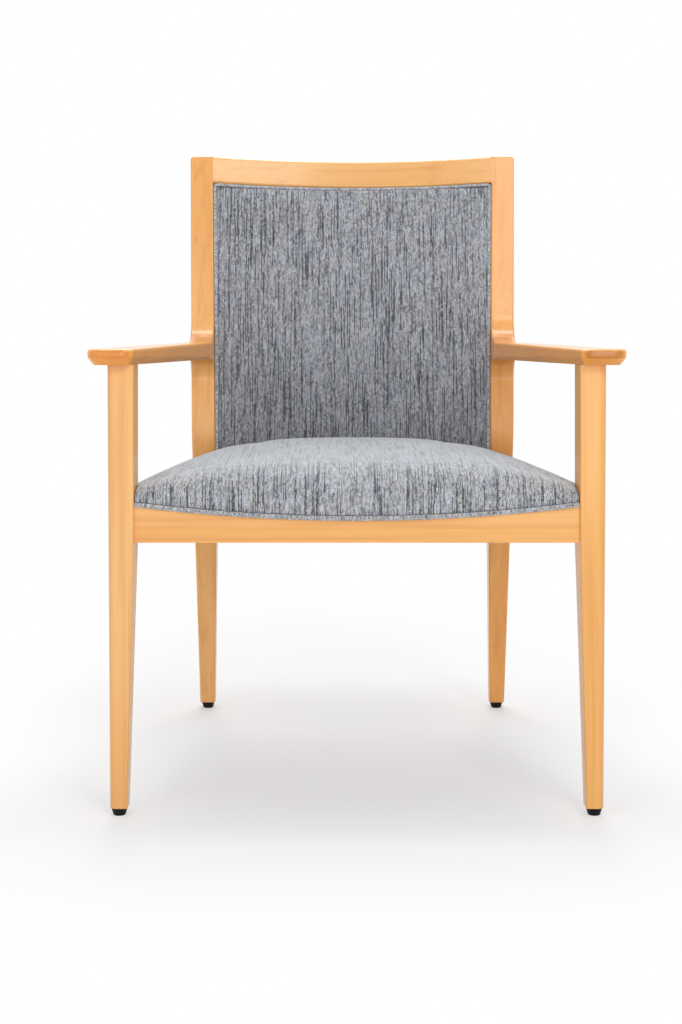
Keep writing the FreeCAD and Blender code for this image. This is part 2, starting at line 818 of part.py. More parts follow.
def corner_block_blank(label, side, corners):
    """A block that ties two rails, from its outline in plan."""
    body = new_body(f"{label}_blank")
    profile = outline(body, f"{label}_plan", "XY_Plane", [
        Corner(side * across, along) for across, along in corners
    ], offset=(ZERO, ZERO, BLOCK_BOTTOM))
    pad(body, profile, S.block_height, symmetric=False)
    return body


pieces = []
holes = {}


def hole_in(hole, *labels):
    """Note which pieces a hole is cut in."""
    for label in labels:
        holes.setdefault(label, []).append(hole)


def add_dowels():
    """Put two dowels in every frame joint, and one where an arm stands on its leg."""
    rail_middle = S.rail_bottom + S.rail_height / 2
    front = Joint("front_rail_dowels")
    rear = Joint("rear_rail_dowels")
    side_front = Joint("side_rail_front_dowels")
    side_rear = Joint("side_rail_rear_dowels")
    crest = Joint("crest_rail_dowels")
    lower = Joint("lower_back_rail_dowels")
    arm_rear = Joint("arm_rear_dowels")
    arm_front = Joint("arm_front_dowels")
    curved = (
        (crest, "crest_rail", CREST_BOTTOM + S.crest_height / 2, S.crest_dowel_depth),
        (lower, "lower_back_rail", LOWER_RAIL_MIDDLE, BOARD_BACK + S.lower_dowel_depth),
    )
    for name, side in SIDES.items():
        post = f"back_post_{name}"
        leg = f"front_leg_{name}"
        arm = f"arm_{name}"
        rail = f"side_rail_{name}"
        for end in (LEFT, RIGHT):
            height = rail_middle + S.dowel_pitch / 2 * end
            place_front = (side * LEG_IN, (RAIL_FRONT + RAIL_BACK) / 2, height)
            hole_in(front.add(place_front, "x"), leg, "front_seat_rail")
            along = REAR_RAIL_FRONT + S.rear_rail_thickness / 2
            hole_in(rear.add((side * post_inside(height), along, height), "x"), post, "rear_seat_rail")
            across = side * (side_rail_outside(LEG_BACK) - S.side_rail_thickness / 2)
            hole_in(side_front.add((across, LEG_BACK, height), "y"), leg, rail)
            contact = raking_front(height)
            across = side * (side_rail_outside(contact) - S.side_rail_thickness / 2)
            hole_in(side_rear.add((across, contact, height), "y"), post, rail)
            for joint, rail_name, up, back in curved:
                along, height_back = lean_place(up + S.dowel_close_pitch / 2 * end, back)
                hole_in(joint.add((side * post_inside(height_back), along, height_back), "x"),
                        post, rail_name)
            post_middle = (post_inside(S.arm_top) + post_outside(S.arm_top)) / 2
            across = side * post_middle + S.dowel_arm_pitch / 2 * end
            height_arm = S.arm_top - S.arm_rear_thickness / 2
            hole_in(arm_rear.add((across, KNUCKLE_FRONT, height_arm), "y"), post, arm)
        across = side * (LEG_IN + LEG_OUT) / 2
        along = (LEG_FRONT + LEG_BACK) / 2
        hole_in(arm_front.add((across, along, arm_underside(along)), "z"), leg, arm)
    for joint in (front, rear, side_front, side_rear, crest, lower, arm_rear, arm_front):
        pieces.append(joint.finish())


def crest_rail_blank():
    """The crest rail, flush with the posts at its ends, its long edges rounded."""
    body = curved_panel("crest_rail_blank", ZERO, S.crest_thickness, CREST_BOTTOM, S.crest_height)

    def lengthways(point, tangent):
        return abs(tangent.x) > ALONG

    round_edges(body, "crest_rail_edge_round", S.crest_round, lengthways)
    trim_ends(body, ZERO)
    return body


# Hardware

class Fasteners:
    """Equal fasteners that make up one piece."""

    def __init__(self, label):
        self.label = label
        self.members = []

    def add_screw(self, face, axis, side, bite, tapped, bored):
        """A screw through one piece into another, its head sunk to leave a set grip under it."""
        name = f"{self.label}_{len(self.members) + 1}"
        sunk = S.screw_grip + S.screw_head_height
        shank = reach_rod(f"{name}_shank", face, axis, side, -bite, S.screw_grip, S.screw_radius)
        head = reach_rod(f"{name}_head", face, axis, side, S.screw_grip, sunk, S.screw_head_radius)
        self.members.append(fused(name, [shank, head]))
        pilot = reach_rod(f"{name}_pilot", face, axis, side, -bite - S.fit_gap, S.screw_grip,
                          S.screw_radius + S.glue_gap)
        bore = reach_rod(f"{name}_bore", face, axis, side, S.screw_grip, S.screw_grip + S.block_leg,
                         S.screw_head_radius + S.fit_gap)
        hole_in(pilot, tapped, bored)
        hole_in(bore, bored)

    def finish(self):
        """All fasteners of the group as one piece."""
        return group(self.label, self.members)


def add_corner_blocks():
    """Four blocks that tie the seat rails, their screws, and the bolts that hold the seat."""
    screws = Fasteners("corner_block_screws")
    bolts = Fasteners("seat_bolts")
    tee_nuts = Fasteners("seat_tee_nuts")
    height = BLOCK_BOTTOM + S.block_height / 2
    corner_rear = side_rail_inside(REAR_RAIL_FRONT)
    cut_rear = REAR_RAIL_FRONT - S.block_corner_cut
    far_rear = REAR_RAIL_FRONT - S.block_rear_leg
    far_front = RAIL_BACK + S.block_leg
    plans = {
        "front": [
            (LEG_IN - S.block_leg, RAIL_BACK),
            (LEG_IN, RAIL_BACK),
            (LEG_IN, LEG_BACK),
            (side_rail_inside(far_front), far_front),
        ],
        "rear": [
            (corner_rear - S.block_rear_leg, REAR_RAIL_FRONT),
            (corner_rear - S.block_corner_cut, REAR_RAIL_FRONT),
            (side_rail_inside(cut_rear), cut_rear),
            (side_rail_inside(far_rear), far_rear),
        ],
    }
    rear_across = corner_rear - S.block_corner_cut - S.screw_from_cut
    side_along = {"front": RAIL_BACK + S.screw_up_side, "rear": cut_rear - S.screw_from_cut}
    bolt_at = {
        "front": (LEG_IN - S.bolt_from_leg, RAIL_BACK + S.bolt_from_rail),
        "rear": (corner_rear - S.rear_bolt_from_side, REAR_RAIL_FRONT - S.rear_bolt_from_rail),
    }
    for name, side in SIDES.items():
        across_screws = {
            "front": ((side * (LEG_IN - S.screw_from_corner), RAIL_BACK, height), RIGHT, "front_seat_rail"),
            "rear": ((side * rear_across, REAR_RAIL_FRONT, height), LEFT, "rear_seat_rail"),
        }
        for end, plan in plans.items():
            label = f"corner_block_{end}_{name}"
            face, way, rail = across_screws[end]
            screws.add_screw(face, "y", way, S.screw_bite, rail, label)
            along = side_along[end]
            face = (side * side_rail_inside(along), along, height)
            screws.add_screw(face, "x", -side, S.screw_bite, f"side_rail_{name}", label)
            add_seat_bolt(bolts, tee_nuts, side, bolt_at[end], label)
            pieces.append(drilled(label, corner_block_blank(label, side, plan), holes[label]))
    pieces.extend(fasteners.finish() for fasteners in (screws, bolts, tee_nuts))


def add_seat_bolt(bolts, tee_nuts, side, at, block):
    """A bolt up through a block, and the tee nut in the deck that takes it."""
    across, along = at
    count = len(bolts.members) + 1
    name = f"seat_bolt_{count}"
    foot = (side * across, along, BLOCK_BOTTOM)
    tip = TEE_NUT_TOP - S.bolt_end_gap - BLOCK_BOTTOM
    shank = rod(f"{name}_shank", foot, "z", S.bolt_radius, tip)
    head = rod(f"{name}_head", shifted(foot, "z", -S.bolt_head_height), "z", S.bolt_head_radius,
               S.bolt_head_height)
    bolts.members.append(fused(name, [shank, head]))
    hole_in(rod(f"{name}_hole", foot, "z", S.bolt_radius + S.fit_gap, S.block_height), block)
    hole_in(rod(f"{name}_gap", foot, "z", S.tee_nut_flange_radius, RAIL_TOP - BLOCK_BOTTOM), "dust_cover")

    nut = f"seat_tee_nut_{count}"
    barrel_foot = (side * across, along, TEE_NUT_TOP - S.tee_nut_length)
    flange_foot = (side * across, along, TEE_NUT_TOP - S.tee_nut_flange_height)
    barrel = rod(f"{nut}_barrel", barrel_foot, "z", S.tee_nut_radius, S.tee_nut_length)
    flange = rod(f"{nut}_flange", flange_foot, "z", S.tee_nut_flange_radius, S.tee_nut_flange_height)
    bore = rod(f"{nut}_bore", barrel_foot, "z", S.bolt_radius + S.glue_gap, S.tee_nut_length)
    tee_nuts.members.append(drilled(nut, fused(f"{nut}_blank", [barrel, flange]), [bore]))
    hole_in(rod(f"{nut}_hole", foot, "z", S.tee_nut_radius + S.glue_gap, TEE_NUT_TOP - BLOCK_BOTTOM),
            "seat_deck")
    hole_in(rod(f"{nut}_recess", flange_foot, "z", S.tee_nut_flange_radius + S.fit_gap, S.deck_thickness),
            "seat_deck")


def add_glides():
    """A glide under each foot, with the nail moulded into it."""
    nails = Fasteners("glide_nails")
    rear_across = (POST_FOOT_IN + post_outside(S.glide_height)) / 2
    centres = {
        "front": ((LEG_FOOT_IN + LEG_FOOT_OUT) / 2, LEG_FRONT + S.leg_foot_depth / 2, "front_leg"),
        "rear": (rear_across, (FOOT_FRONT + FOOT_BACK) / 2, "back_post"),
    }
    length = S.glide_height - S.nail_head_lift + S.nail_reach
    for name, side in SIDES.items():
        for end, (across, along, owner) in centres.items():
            label = f"glide_{end}_{name}"
            cone = doc.addObject("Part::Cone", f"{label}_blank")
            cone.setExpression("Radius1", str(S.glide_floor_radius))
            cone.setExpression("Radius2", str(S.glide_top_radius))
            cone.setExpression("Height", str(S.glide_height))
            place(cone, (side * across, along, ZERO))
            foot = (side * across, along, S.nail_head_lift)
            nail = f"{label}_nail"
            shank = rod(f"{nail}_shank", foot, "z", S.nail_radius, length)
            head = rod(f"{nail}_head", foot, "z", S.nail_head_radius, S.nail_head_height)
            nails.members.append(fused(nail, [shank, head]))
            shank_hole = rod(f"{nail}_hole", foot, "z", S.nail_radius + S.glue_gap, length + S.dowel_end_gap)
            head_hole = rod(f"{nail}_seat", shifted(foot, "z", -S.glue_gap), "z",
                            S.nail_head_radius + S.glue_gap, S.nail_head_height + S.glue_gap * 2)
            hole_in(shank_hole, f"{owner}_{name}")
            pieces.append(drilled(label, cone, [shank_hole, head_hole]))
    pieces.append(nails.finish())


# Back

def add_back():
    """The two curved rails of the back, its boards, and the screws that hold the board."""
    screws = Fasteners("back_panel_screws")
    for step in (LEFT, ZERO, RIGHT):
        across = S.board_screw_spread * step
        along, height = lean_place(LOWER_RAIL_MIDDLE, BOARD_BACK + sag(across))
        screws.add_screw((across, along, height), "back", RIGHT, S.board_screw_bite, "back_board",
                         "lower_back_rail")
    pieces.append(screws.finish())

    groove = curved_panel("crest_rail_groove", S.board_setback - S.fit_gap, S.board_thickness + S.fit_gap * 2,
                          CREST_BOTTOM - S.board_tongue, S.board_tongue * 2 + S.fit_gap)
    hole_in(groove, "crest_rail")
    lower = curved_panel("lower_back_rail_blank", BOARD_BACK, S.lower_rail_thickness, LOWER_RAIL_BOTTOM,
                         S.lower_rail_height, ZERO)
    board = curved_panel("back_board_blank", S.board_setback, S.board_thickness, BACK_BOTTOM,
                         CREST_BOTTOM + S.board_tongue - BACK_BOTTOM, S.fit_gap)
    outside_bottom = LOWER_RAIL_TOP + S.fit_gap
    outside_height = CREST_BOTTOM - S.fit_gap - outside_bottom
    outside_board = curved_panel("outside_back_board", BOARD_BACK, S.outside_board_thickness, outside_bottom,
                                 outside_height, S.fit_gap)
    outside_front = BOARD_BACK + S.outside_board_thickness + S.fit_gap
    outside_cover = curved_panel("outside_back_cover", outside_front, S.cover_thickness, outside_bottom,
                                 outside_height, S.fit_gap)
    pieces.append(drilled("crest_rail", crest_rail_blank(), holes["crest_rail"]))
    pieces.append(drilled("lower_back_rail", lower, holes["lower_back_rail"]))
    pieces.append(drilled("back_board", board, holes["back_board"]))
    pieces.extend((outside_board, outside_cover))


# Upholstery

# Sections of a cushion from one side to the other, closer together towards the sides
STATION_STEPS = 4
STATIONS = [math.sin(math.pi / 2 * step / STATION_STEPS) for step in range(-STATION_STEPS, STATION_STEPS + 1)]
# Place of the middle of a quarter round, as a share of its height
EIGHTH_TURN = math.sqrt(0.5)


def closed_wire(edges):
    """A closed wire from edges that follow one another."""
    return Part.Wire([edge.toShape() for edge in edges])


@dataclass
class Section:
    """One section of a cushion: a wall, a round shoulder and a crown, the same from both ends."""

    first: FreeCAD.Vector
    second: FreeCAD.Vector
    out: FreeCAD.Vector
    base: float
    wall: float
    shoulder: float
    crown: float
    reach: float

    def at(self, distance, height):
        """The place at a distance from the first end, or from the second where it is negative."""
        along = (self.second - self.first).normalize()
        start = self.first if distance >= 0 else self.second
        return start + along * distance + self.out * height

    def quarter(self, sense):
        """The middle of a shoulder, from the first end or the second."""
        lift = self.wall + (self.shoulder - self.wall) * EIGHTH_TURN
        return self.at(sense * self.reach * (1 - EIGHTH_TURN), lift)

    def wire(self):
        """The closed outline of the section."""
        half = (self.second - self.first).Length / 2
        low_first = self.first + self.out * self.base
        low_second = self.second + self.out * self.base
        wall_first = self.first + self.out * self.wall
        wall_second = self.second + self.out * self.wall
        shoulder_first = self.at(self.reach, self.shoulder)
        shoulder_second = self.at(-self.reach, self.shoulder)
        return closed_wire([
            Part.LineSegment(low_first, wall_first),
            Part.Arc(wall_first, self.quarter(RIGHT), shoulder_first),
            Part.Arc(shoulder_first, self.at(half, self.crown), shoulder_second),
            Part.Arc(shoulder_second, self.quarter(LEFT), wall_second),
            Part.LineSegment(wall_second, low_second),
            Part.LineSegment(low_second, low_first),
        ])


def blend(edge, middle, share):
    """A size between its value at the edge and its value in the middle."""
    return float(edge) + (float(middle) - float(edge)) * share


def seat_bulk(inset):
    """The seat, drawn in on all sides, from below its deck to its crown."""
    front = float(RAIL_FRONT) + inset
    rear = float(SEAT_REAR) - inset
    half_front = float(side_rail_outside(RAIL_FRONT)) - inset
    half_rear = float(side_rail_outside(SEAT_REAR)) - inset
    clear_of_posts = float(S.post_gap_seat) / 2 / half_rear
    level = float(RAIL_TOP)
    wires = []
    for station in STATIONS:
        share = 1 - abs(station) ** float(S.seat_fullness)
        bow = float(SEAT_REAR_BOW) * max(0, 1 - (station / clear_of_posts) ** 2) ** 2
        section = Section(
            first=FreeCAD.Vector(station * half_front, front, level),
            second=FreeCAD.Vector(station * half_rear, rear + bow, level),
            out=UP,
            base=-2 * float(S.rail_scoop),
            wall=blend(S.seat_wall_height, S.seat_wall_middle, share) - inset,
            shoulder=blend(S.seat_shoulder_height, S.seat_shoulder_middle, share) - inset,
            crown=blend(S.seat_edge_height, S.seat_crown_height, share) - inset,
            reach=float(S.seat_shoulder_reach),
        )
        wires.append(section.wire())
    return Part.makeLoft(wires, True, False)


def leg_notch(side, clearance):
    """The room that a front leg takes out of a corner of the seat."""
    width = float(S.leg_width) * 2
    depth = float(S.leg_depth) * 2
    near = float(LEG_IN) - clearance
    corner = FreeCAD.Vector(near if side == RIGHT else -near - width,
                            float(LEG_BACK) + clearance - depth, float(S.rail_bottom))
    return Part.makeBox(width, depth, float(S.arm_top - S.rail_bottom), corner)


def notched(bulk, clearance):
    """The seat without the corners that its front legs stand in."""
    return bulk.cut([leg_notch(side, clearance) for side in SIDES.values()])


def saddle(low, high):
    """The layer between two levels over the seat frame, dipped in front as the front rail is."""
    wide = float(S.overall_width)
    depth = float(S.seat_depth)
    top = float(RAIL_TOP)
    scoop = float(S.rail_scoop)
    front_half = float(LEG_IN)
    rear_half = float(side_rail_inside(SEAT_REAR))
    stations = (
        (float(RAIL_FRONT) - depth, scoop, front_half),
        (float(RAIL_BACK), scoop, front_half),
        (float(SEAT_REAR), 0, rear_half),
        (float(SEAT_REAR) + depth, 0, rear_half),
    )
    wires = []
    for along, dip, half in stations:

        def spot(across, level):
            return FreeCAD.Vector(across, along, top + level)

        def dipped(first, last, level):
            if dip == 0:
                return Part.LineSegment(spot(first, level), spot(last, level))
            return Part.Arc(spot(first, level), spot(0, level - dip), spot(last, level))

        wires.append(closed_wire([
            Part.LineSegment(spot(-wide, high), spot(-half, high)),
            dipped(-half, half, high),
            Part.LineSegment(spot(half, high), spot(wide, high)),
            Part.LineSegment(spot(wide, high), spot(wide, low)),
            Part.LineSegment(spot(wide, low), spot(half, low)),
            dipped(half, -half, low),
            Part.LineSegment(spot(-half, low), spot(-wide, low)),
            Part.LineSegment(spot(-wide, low), spot(-wide, high)),
        ]))
    return Part.makeLoft(wires, True, True)


def below(level):
    """All room under a level over the seat frame."""
    return saddle(-float(S.rail_height) * 2, level)


def seat_welt():
    """The welt along the front edge of the seat and along its two sides, between legs and posts."""
    radius = float(S.seat_welt_radius)
    gap = float(S.fit_gap)
    level = float(RAIL_TOP) + gap + radius
    out = radius - float(S.cover_thickness)
    scoop = float(S.rail_scoop)
    half = float(LEG_IN)
    bend = (half ** 2 + scoop ** 2) / (2 * scoop)
    front = float(RAIL_FRONT) - out
    angle = math.degrees(math.asin((half - gap) / bend))
    bottom = FreeCAD.Vector(0, front, level - scoop)
    ring = Part.Wire([Part.makeCircle(radius, bottom, FreeCAD.Vector(1, 0, 0))])
    centre = FreeCAD.Vector(0, front, level - scoop + bend)
    round_axis = FreeCAD.Vector(0, 1, 0)
    disc = Part.Face(ring)
    disc.rotate(centre, round_axis, -angle)
    welts = [disc.revolve(centre, round_axis, 2 * angle)]
    first = float(LEG_BACK) + gap
    last = float(SEAT_REAR)
    for side in SIDES.values():
        start = FreeCAD.Vector(side * (float(side_rail_outside(Formula(first))) + out), first + gap, level)
        stop = FreeCAD.Vector(side * (float(side_rail_outside(Formula(last))) + out), last, level)
        welts.append(Part.makeCylinder(radius, (stop - start).Length, start, stop - start))
    return Part.makeCompound(welts)


def dust_cover_blank():
    """A thin cloth under the deck, inside the rails."""
    margin = float(S.dust_cover_margin)
    front = float(RAIL_BACK) + margin
    rear = float(REAR_RAIL_FRONT) - margin
    half_front = float(LEG_IN) - margin
    half_rear = float(post_inside(S.rail_bottom)) - margin
    level = float(RAIL_TOP)
    height = float(S.rail_height)
    corners = [(-half_front, front), (half_front, front), (half_rear, rear), (-half_rear, rear)]
    points = [FreeCAD.Vector(across, along, level - height) for across, along in corners]
    prism = Part.Face(Part.makePolygon(points + points[:1])).extrude(UP * 2 * height)
    return prism.common(saddle(-float(S.dust_cover_thickness), 0))


def add_seat():
    """The deck, the foam, the cover and the welt of the seat, and the dust cover under it."""
    gap = float(S.fit_gap)
    cover = float(S.cover_thickness)
    deck_top = gap + float(S.deck_thickness)
    welt_top = gap * 2 + float(S.seat_welt_radius) * 2
    outer = notched(seat_bulk(0), gap)
    cavity = notched(seat_bulk(cover), gap + cover)
    core = notched(seat_bulk(cover + gap), gap + cover + gap)
    deck = shaped("seat_deck_blank", core.common(saddle(gap, deck_top)))
    pieces.append(drilled("seat_deck", deck, holes["seat_deck"]))
    pieces.append(shaped("seat_foam", core.cut(below(deck_top + gap))))
    pieces.append(shaped("seat_cover", outer.cut(cavity).cut(below(welt_top))))
    pieces.append(shaped("seat_welt", seat_welt()))
    cloth = shaped("dust_cover_blank", dust_cover_blank())
    pieces.append(drilled("dust_cover", cloth, holes["dust_cover"]))


def leaning(feature):
    """Stand a piece made in the frame of the back where the back is: X across, Y back, Z up the lean."""
    turn = FreeCAD.Rotation(FreeCAD.Vector(-1, 0, 0), float(S.back_lean))
    feature.Placement = FreeCAD.Placement(FreeCAD.Vector(0, float(BEND_FRONT), float(S.bend_height)), turn)
    return feature


def back_half(up, margin):
    """Half the room between the posts at a height up the lean."""
    return float(post_inside(S.bend_height + Formula(up) * LEAN_COS)) - margin


def back_bulk(inset):
    """The padding of the back, drawn in on all sides, from behind the face of its board to its crown."""
    margin = 2 * float(S.back_welt_radius + S.fit_gap) + inset
    low = margin + float(BACK_BOTTOM)
    high = float(CREST_BOTTOM) - margin
    edge = float(S.back_edge_setback)
    front = FreeCAD.Vector(0, -1, 0)
    wires = []
    for station in STATIONS:
        share = 1 - abs(station) ** float(S.back_fullness)
        first_across = station * back_half(low, margin)
        second_across = station * back_half(high, margin)
        section = Section(
            first=FreeCAD.Vector(first_across, float(sag(first_across)), low),
            second=FreeCAD.Vector(second_across, float(sag(second_across)), high),
            out=front,
            base=-float(S.board_setback + S.board_thickness),
            wall=-edge - float(S.back_wall_depth) - inset,
            shoulder=float(S.back_crown) * share - edge - inset,
            crown=float(S.back_crown) * share + float(S.back_bulge) - edge - inset,
            reach=float(S.back_shoulder_reach),
        )
        wires.append(section.wire())
    return Part.makeLoft(wires, True, False)


def behind_board_face():
    """All room behind the face of the back board, and a fit's gap in front of it."""
    span = float(BACK_SPAN)
    front = float(S.board_setback - S.fit_gap)
    deep = float(S.overall_height)
    low = -deep
    left = FreeCAD.Vector(-span, front, low)
    middle = FreeCAD.Vector(0, front + float(S.back_sag), low)
    right = FreeCAD.Vector(span, front, low)
    far_right = FreeCAD.Vector(span, deep, low)
    far_left = FreeCAD.Vector(-span, deep, low)
    wire = closed_wire([
        Part.Arc(left, middle, right),
        Part.LineSegment(right, far_right),
        Part.LineSegment(far_right, far_left),
        Part.LineSegment(far_left, left),
    ])
    return Part.Face(wire).extrude(UP * 2 * deep)


def back_welt():
    """The welt round the padding of the back: straight along the posts, curved above and below."""
    radius = float(S.back_welt_radius)
    gap = float(S.fit_gap)
    low = float(BACK_BOTTOM)
    high = float(CREST_BOTTOM) - gap
    behind = float(S.back_edge_setback) + radius
    bend = float(BACK_RADIUS)
    welts = []
    for side in SIDES.values():
        ends = []
        for up in (low, high):
            across = back_half(up, gap + radius)
            ends.append(FreeCAD.Vector(side * across, behind + float(sag(across)), up))
        start, stop = ends
        welts.append(Part.makeCylinder(radius, (stop - start).Length, start, stop - start))
    for up in (low + radius, high - radius):
        angle = math.degrees(math.asin(back_half(up, 2 * (gap + radius)) / bend))
        centre = FreeCAD.Vector(0, behind + float(S.back_sag) - bend, up)
        middle = FreeCAD.Vector(0, behind + float(S.back_sag), up)
        disc = Part.Face(Part.Wire([Part.makeCircle(radius, middle, FreeCAD.Vector(1, 0, 0))]))
        disc.rotate(centre, UP, -angle)
        welts.append(disc.revolve(centre, UP, 2 * angle))
    return Part.makeCompound(welts)


def add_back_padding():
    """The foam, the cover and the welt of the back."""
    gap = float(S.fit_gap)
    cover = float(S.cover_thickness)
    behind = behind_board_face()
    cavity = back_bulk(cover).cut(behind)
    pieces.append(leaning(shaped("back_foam", back_bulk(cover + gap).cut(behind))))
    pieces.append(leaning(shaped("back_cover", back_bulk(0).cut(behind).cut(cavity))))
    pieces.append(leaning(shaped("back_welt", back_welt())))


add_dowels()
add_corner_blocks()
add_glides()
add_back()
add_seat()
add_back_padding()
for name, side in SIDES.items():
    for label, make in (("front_leg", front_leg_blank), ("back_post", back_post_blank), ("arm", arm_blank),
                        ("side_rail", side_rail_blank)):
        piece = f"{label}_{name}"
        pieces.append(drilled(piece, make(piece, side), holes[piece]))
pieces.append(drilled("front_seat_rail", front_seat_rail_blank(), holes["front_seat_rail"]))
pieces.append(drilled("rear_seat_rail", rear_seat_rail_blank(), holes["rear_seat_rail"]))
doc.recompute()

failed = [thing.Label for thing in doc.Objects if "Invalid" in thing.State or "Error" in thing.State]
if failed:
    raise RuntimeError(f"failed objects: {failed}")
for piece in pieces:
    shape = piece.Shape
    print(piece.Label, len(shape.Solids), round(shape.Volume), shape.BoundBox)
    if shape.isNull() or not shape.isValid() or not shape.Solids or not shape.Volume > 0:
        raise RuntimeError(f"bad shape: {piece.Label}")
os.makedirs("parts", exist_ok=True)
for piece in pieces:
    piece.Shape.exportStep(f"parts/{piece.Label}.step")
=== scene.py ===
"""An upholstered wooden armchair: its cushions, welts, cloths and finishes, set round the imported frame."""

import json
import logging
import math
from dataclasses import dataclass
from enum import Enum
from typing import Optional, Sequence, Union

import bpy
import numpy as np
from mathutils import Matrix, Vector

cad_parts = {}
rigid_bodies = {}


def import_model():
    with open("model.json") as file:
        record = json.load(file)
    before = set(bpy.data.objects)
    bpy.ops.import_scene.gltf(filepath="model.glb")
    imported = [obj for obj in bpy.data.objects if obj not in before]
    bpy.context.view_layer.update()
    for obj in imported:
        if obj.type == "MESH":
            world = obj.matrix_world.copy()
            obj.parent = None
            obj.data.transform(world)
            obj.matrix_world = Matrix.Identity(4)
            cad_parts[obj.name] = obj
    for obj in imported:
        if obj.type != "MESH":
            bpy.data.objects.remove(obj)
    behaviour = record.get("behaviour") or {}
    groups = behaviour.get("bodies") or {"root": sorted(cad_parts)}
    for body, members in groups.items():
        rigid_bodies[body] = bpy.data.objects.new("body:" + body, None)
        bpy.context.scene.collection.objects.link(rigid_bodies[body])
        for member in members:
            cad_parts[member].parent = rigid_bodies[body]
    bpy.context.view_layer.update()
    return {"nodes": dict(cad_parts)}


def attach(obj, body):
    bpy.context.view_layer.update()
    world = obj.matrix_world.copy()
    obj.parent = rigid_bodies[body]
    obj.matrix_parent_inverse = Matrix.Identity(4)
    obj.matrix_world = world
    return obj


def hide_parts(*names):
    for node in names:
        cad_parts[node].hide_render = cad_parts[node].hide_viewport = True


for left_over in list(bpy.data.objects):
    bpy.data.objects.remove(left_over)
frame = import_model()

LOG = logging.getLogger("armchair")
BODY = "root"
CLOTH = "cloth"
WHITE = (1.0, 1.0, 1.0, 1.0)
MILLIMETRES = 1000.0
# A tolerance, a guard against dividing by nothing, and the slope from which a cord counts as upright
HAIR = 1e-6
TINY = 1e-12
STEEP = 0.8
# The Mix node's colour sockets, whose names are those of its other sockets too
MIX_FIRST, MIX_SECOND, MIX_RESULT = 6, 7, 2
Pair = tuple[float, float]
Colour = tuple[float, float, float]
Place = tuple[float, float, float]
Array = np.ndarray
Faces = list[tuple[int, ...]]
Material = bpy.types.Material
Piece = bpy.types.Object
Socket = bpy.types.NodeSocket


class Axis(Enum):
    """The way that the grain of a wooden piece runs."""

    ACROSS = 0
    DEEP = 1
    UP = 2


class Run(Enum):
    """The way that the streaks of a cloth run on a piece."""

    ALONG = "along"
    CROSSWISE = "crosswise"


# Finishes


def rgba(colour: Sequence[float]) -> tuple[float, float, float, float]:
    """A colour with full cover."""
    return (colour[0], colour[1], colour[2], 1.0)


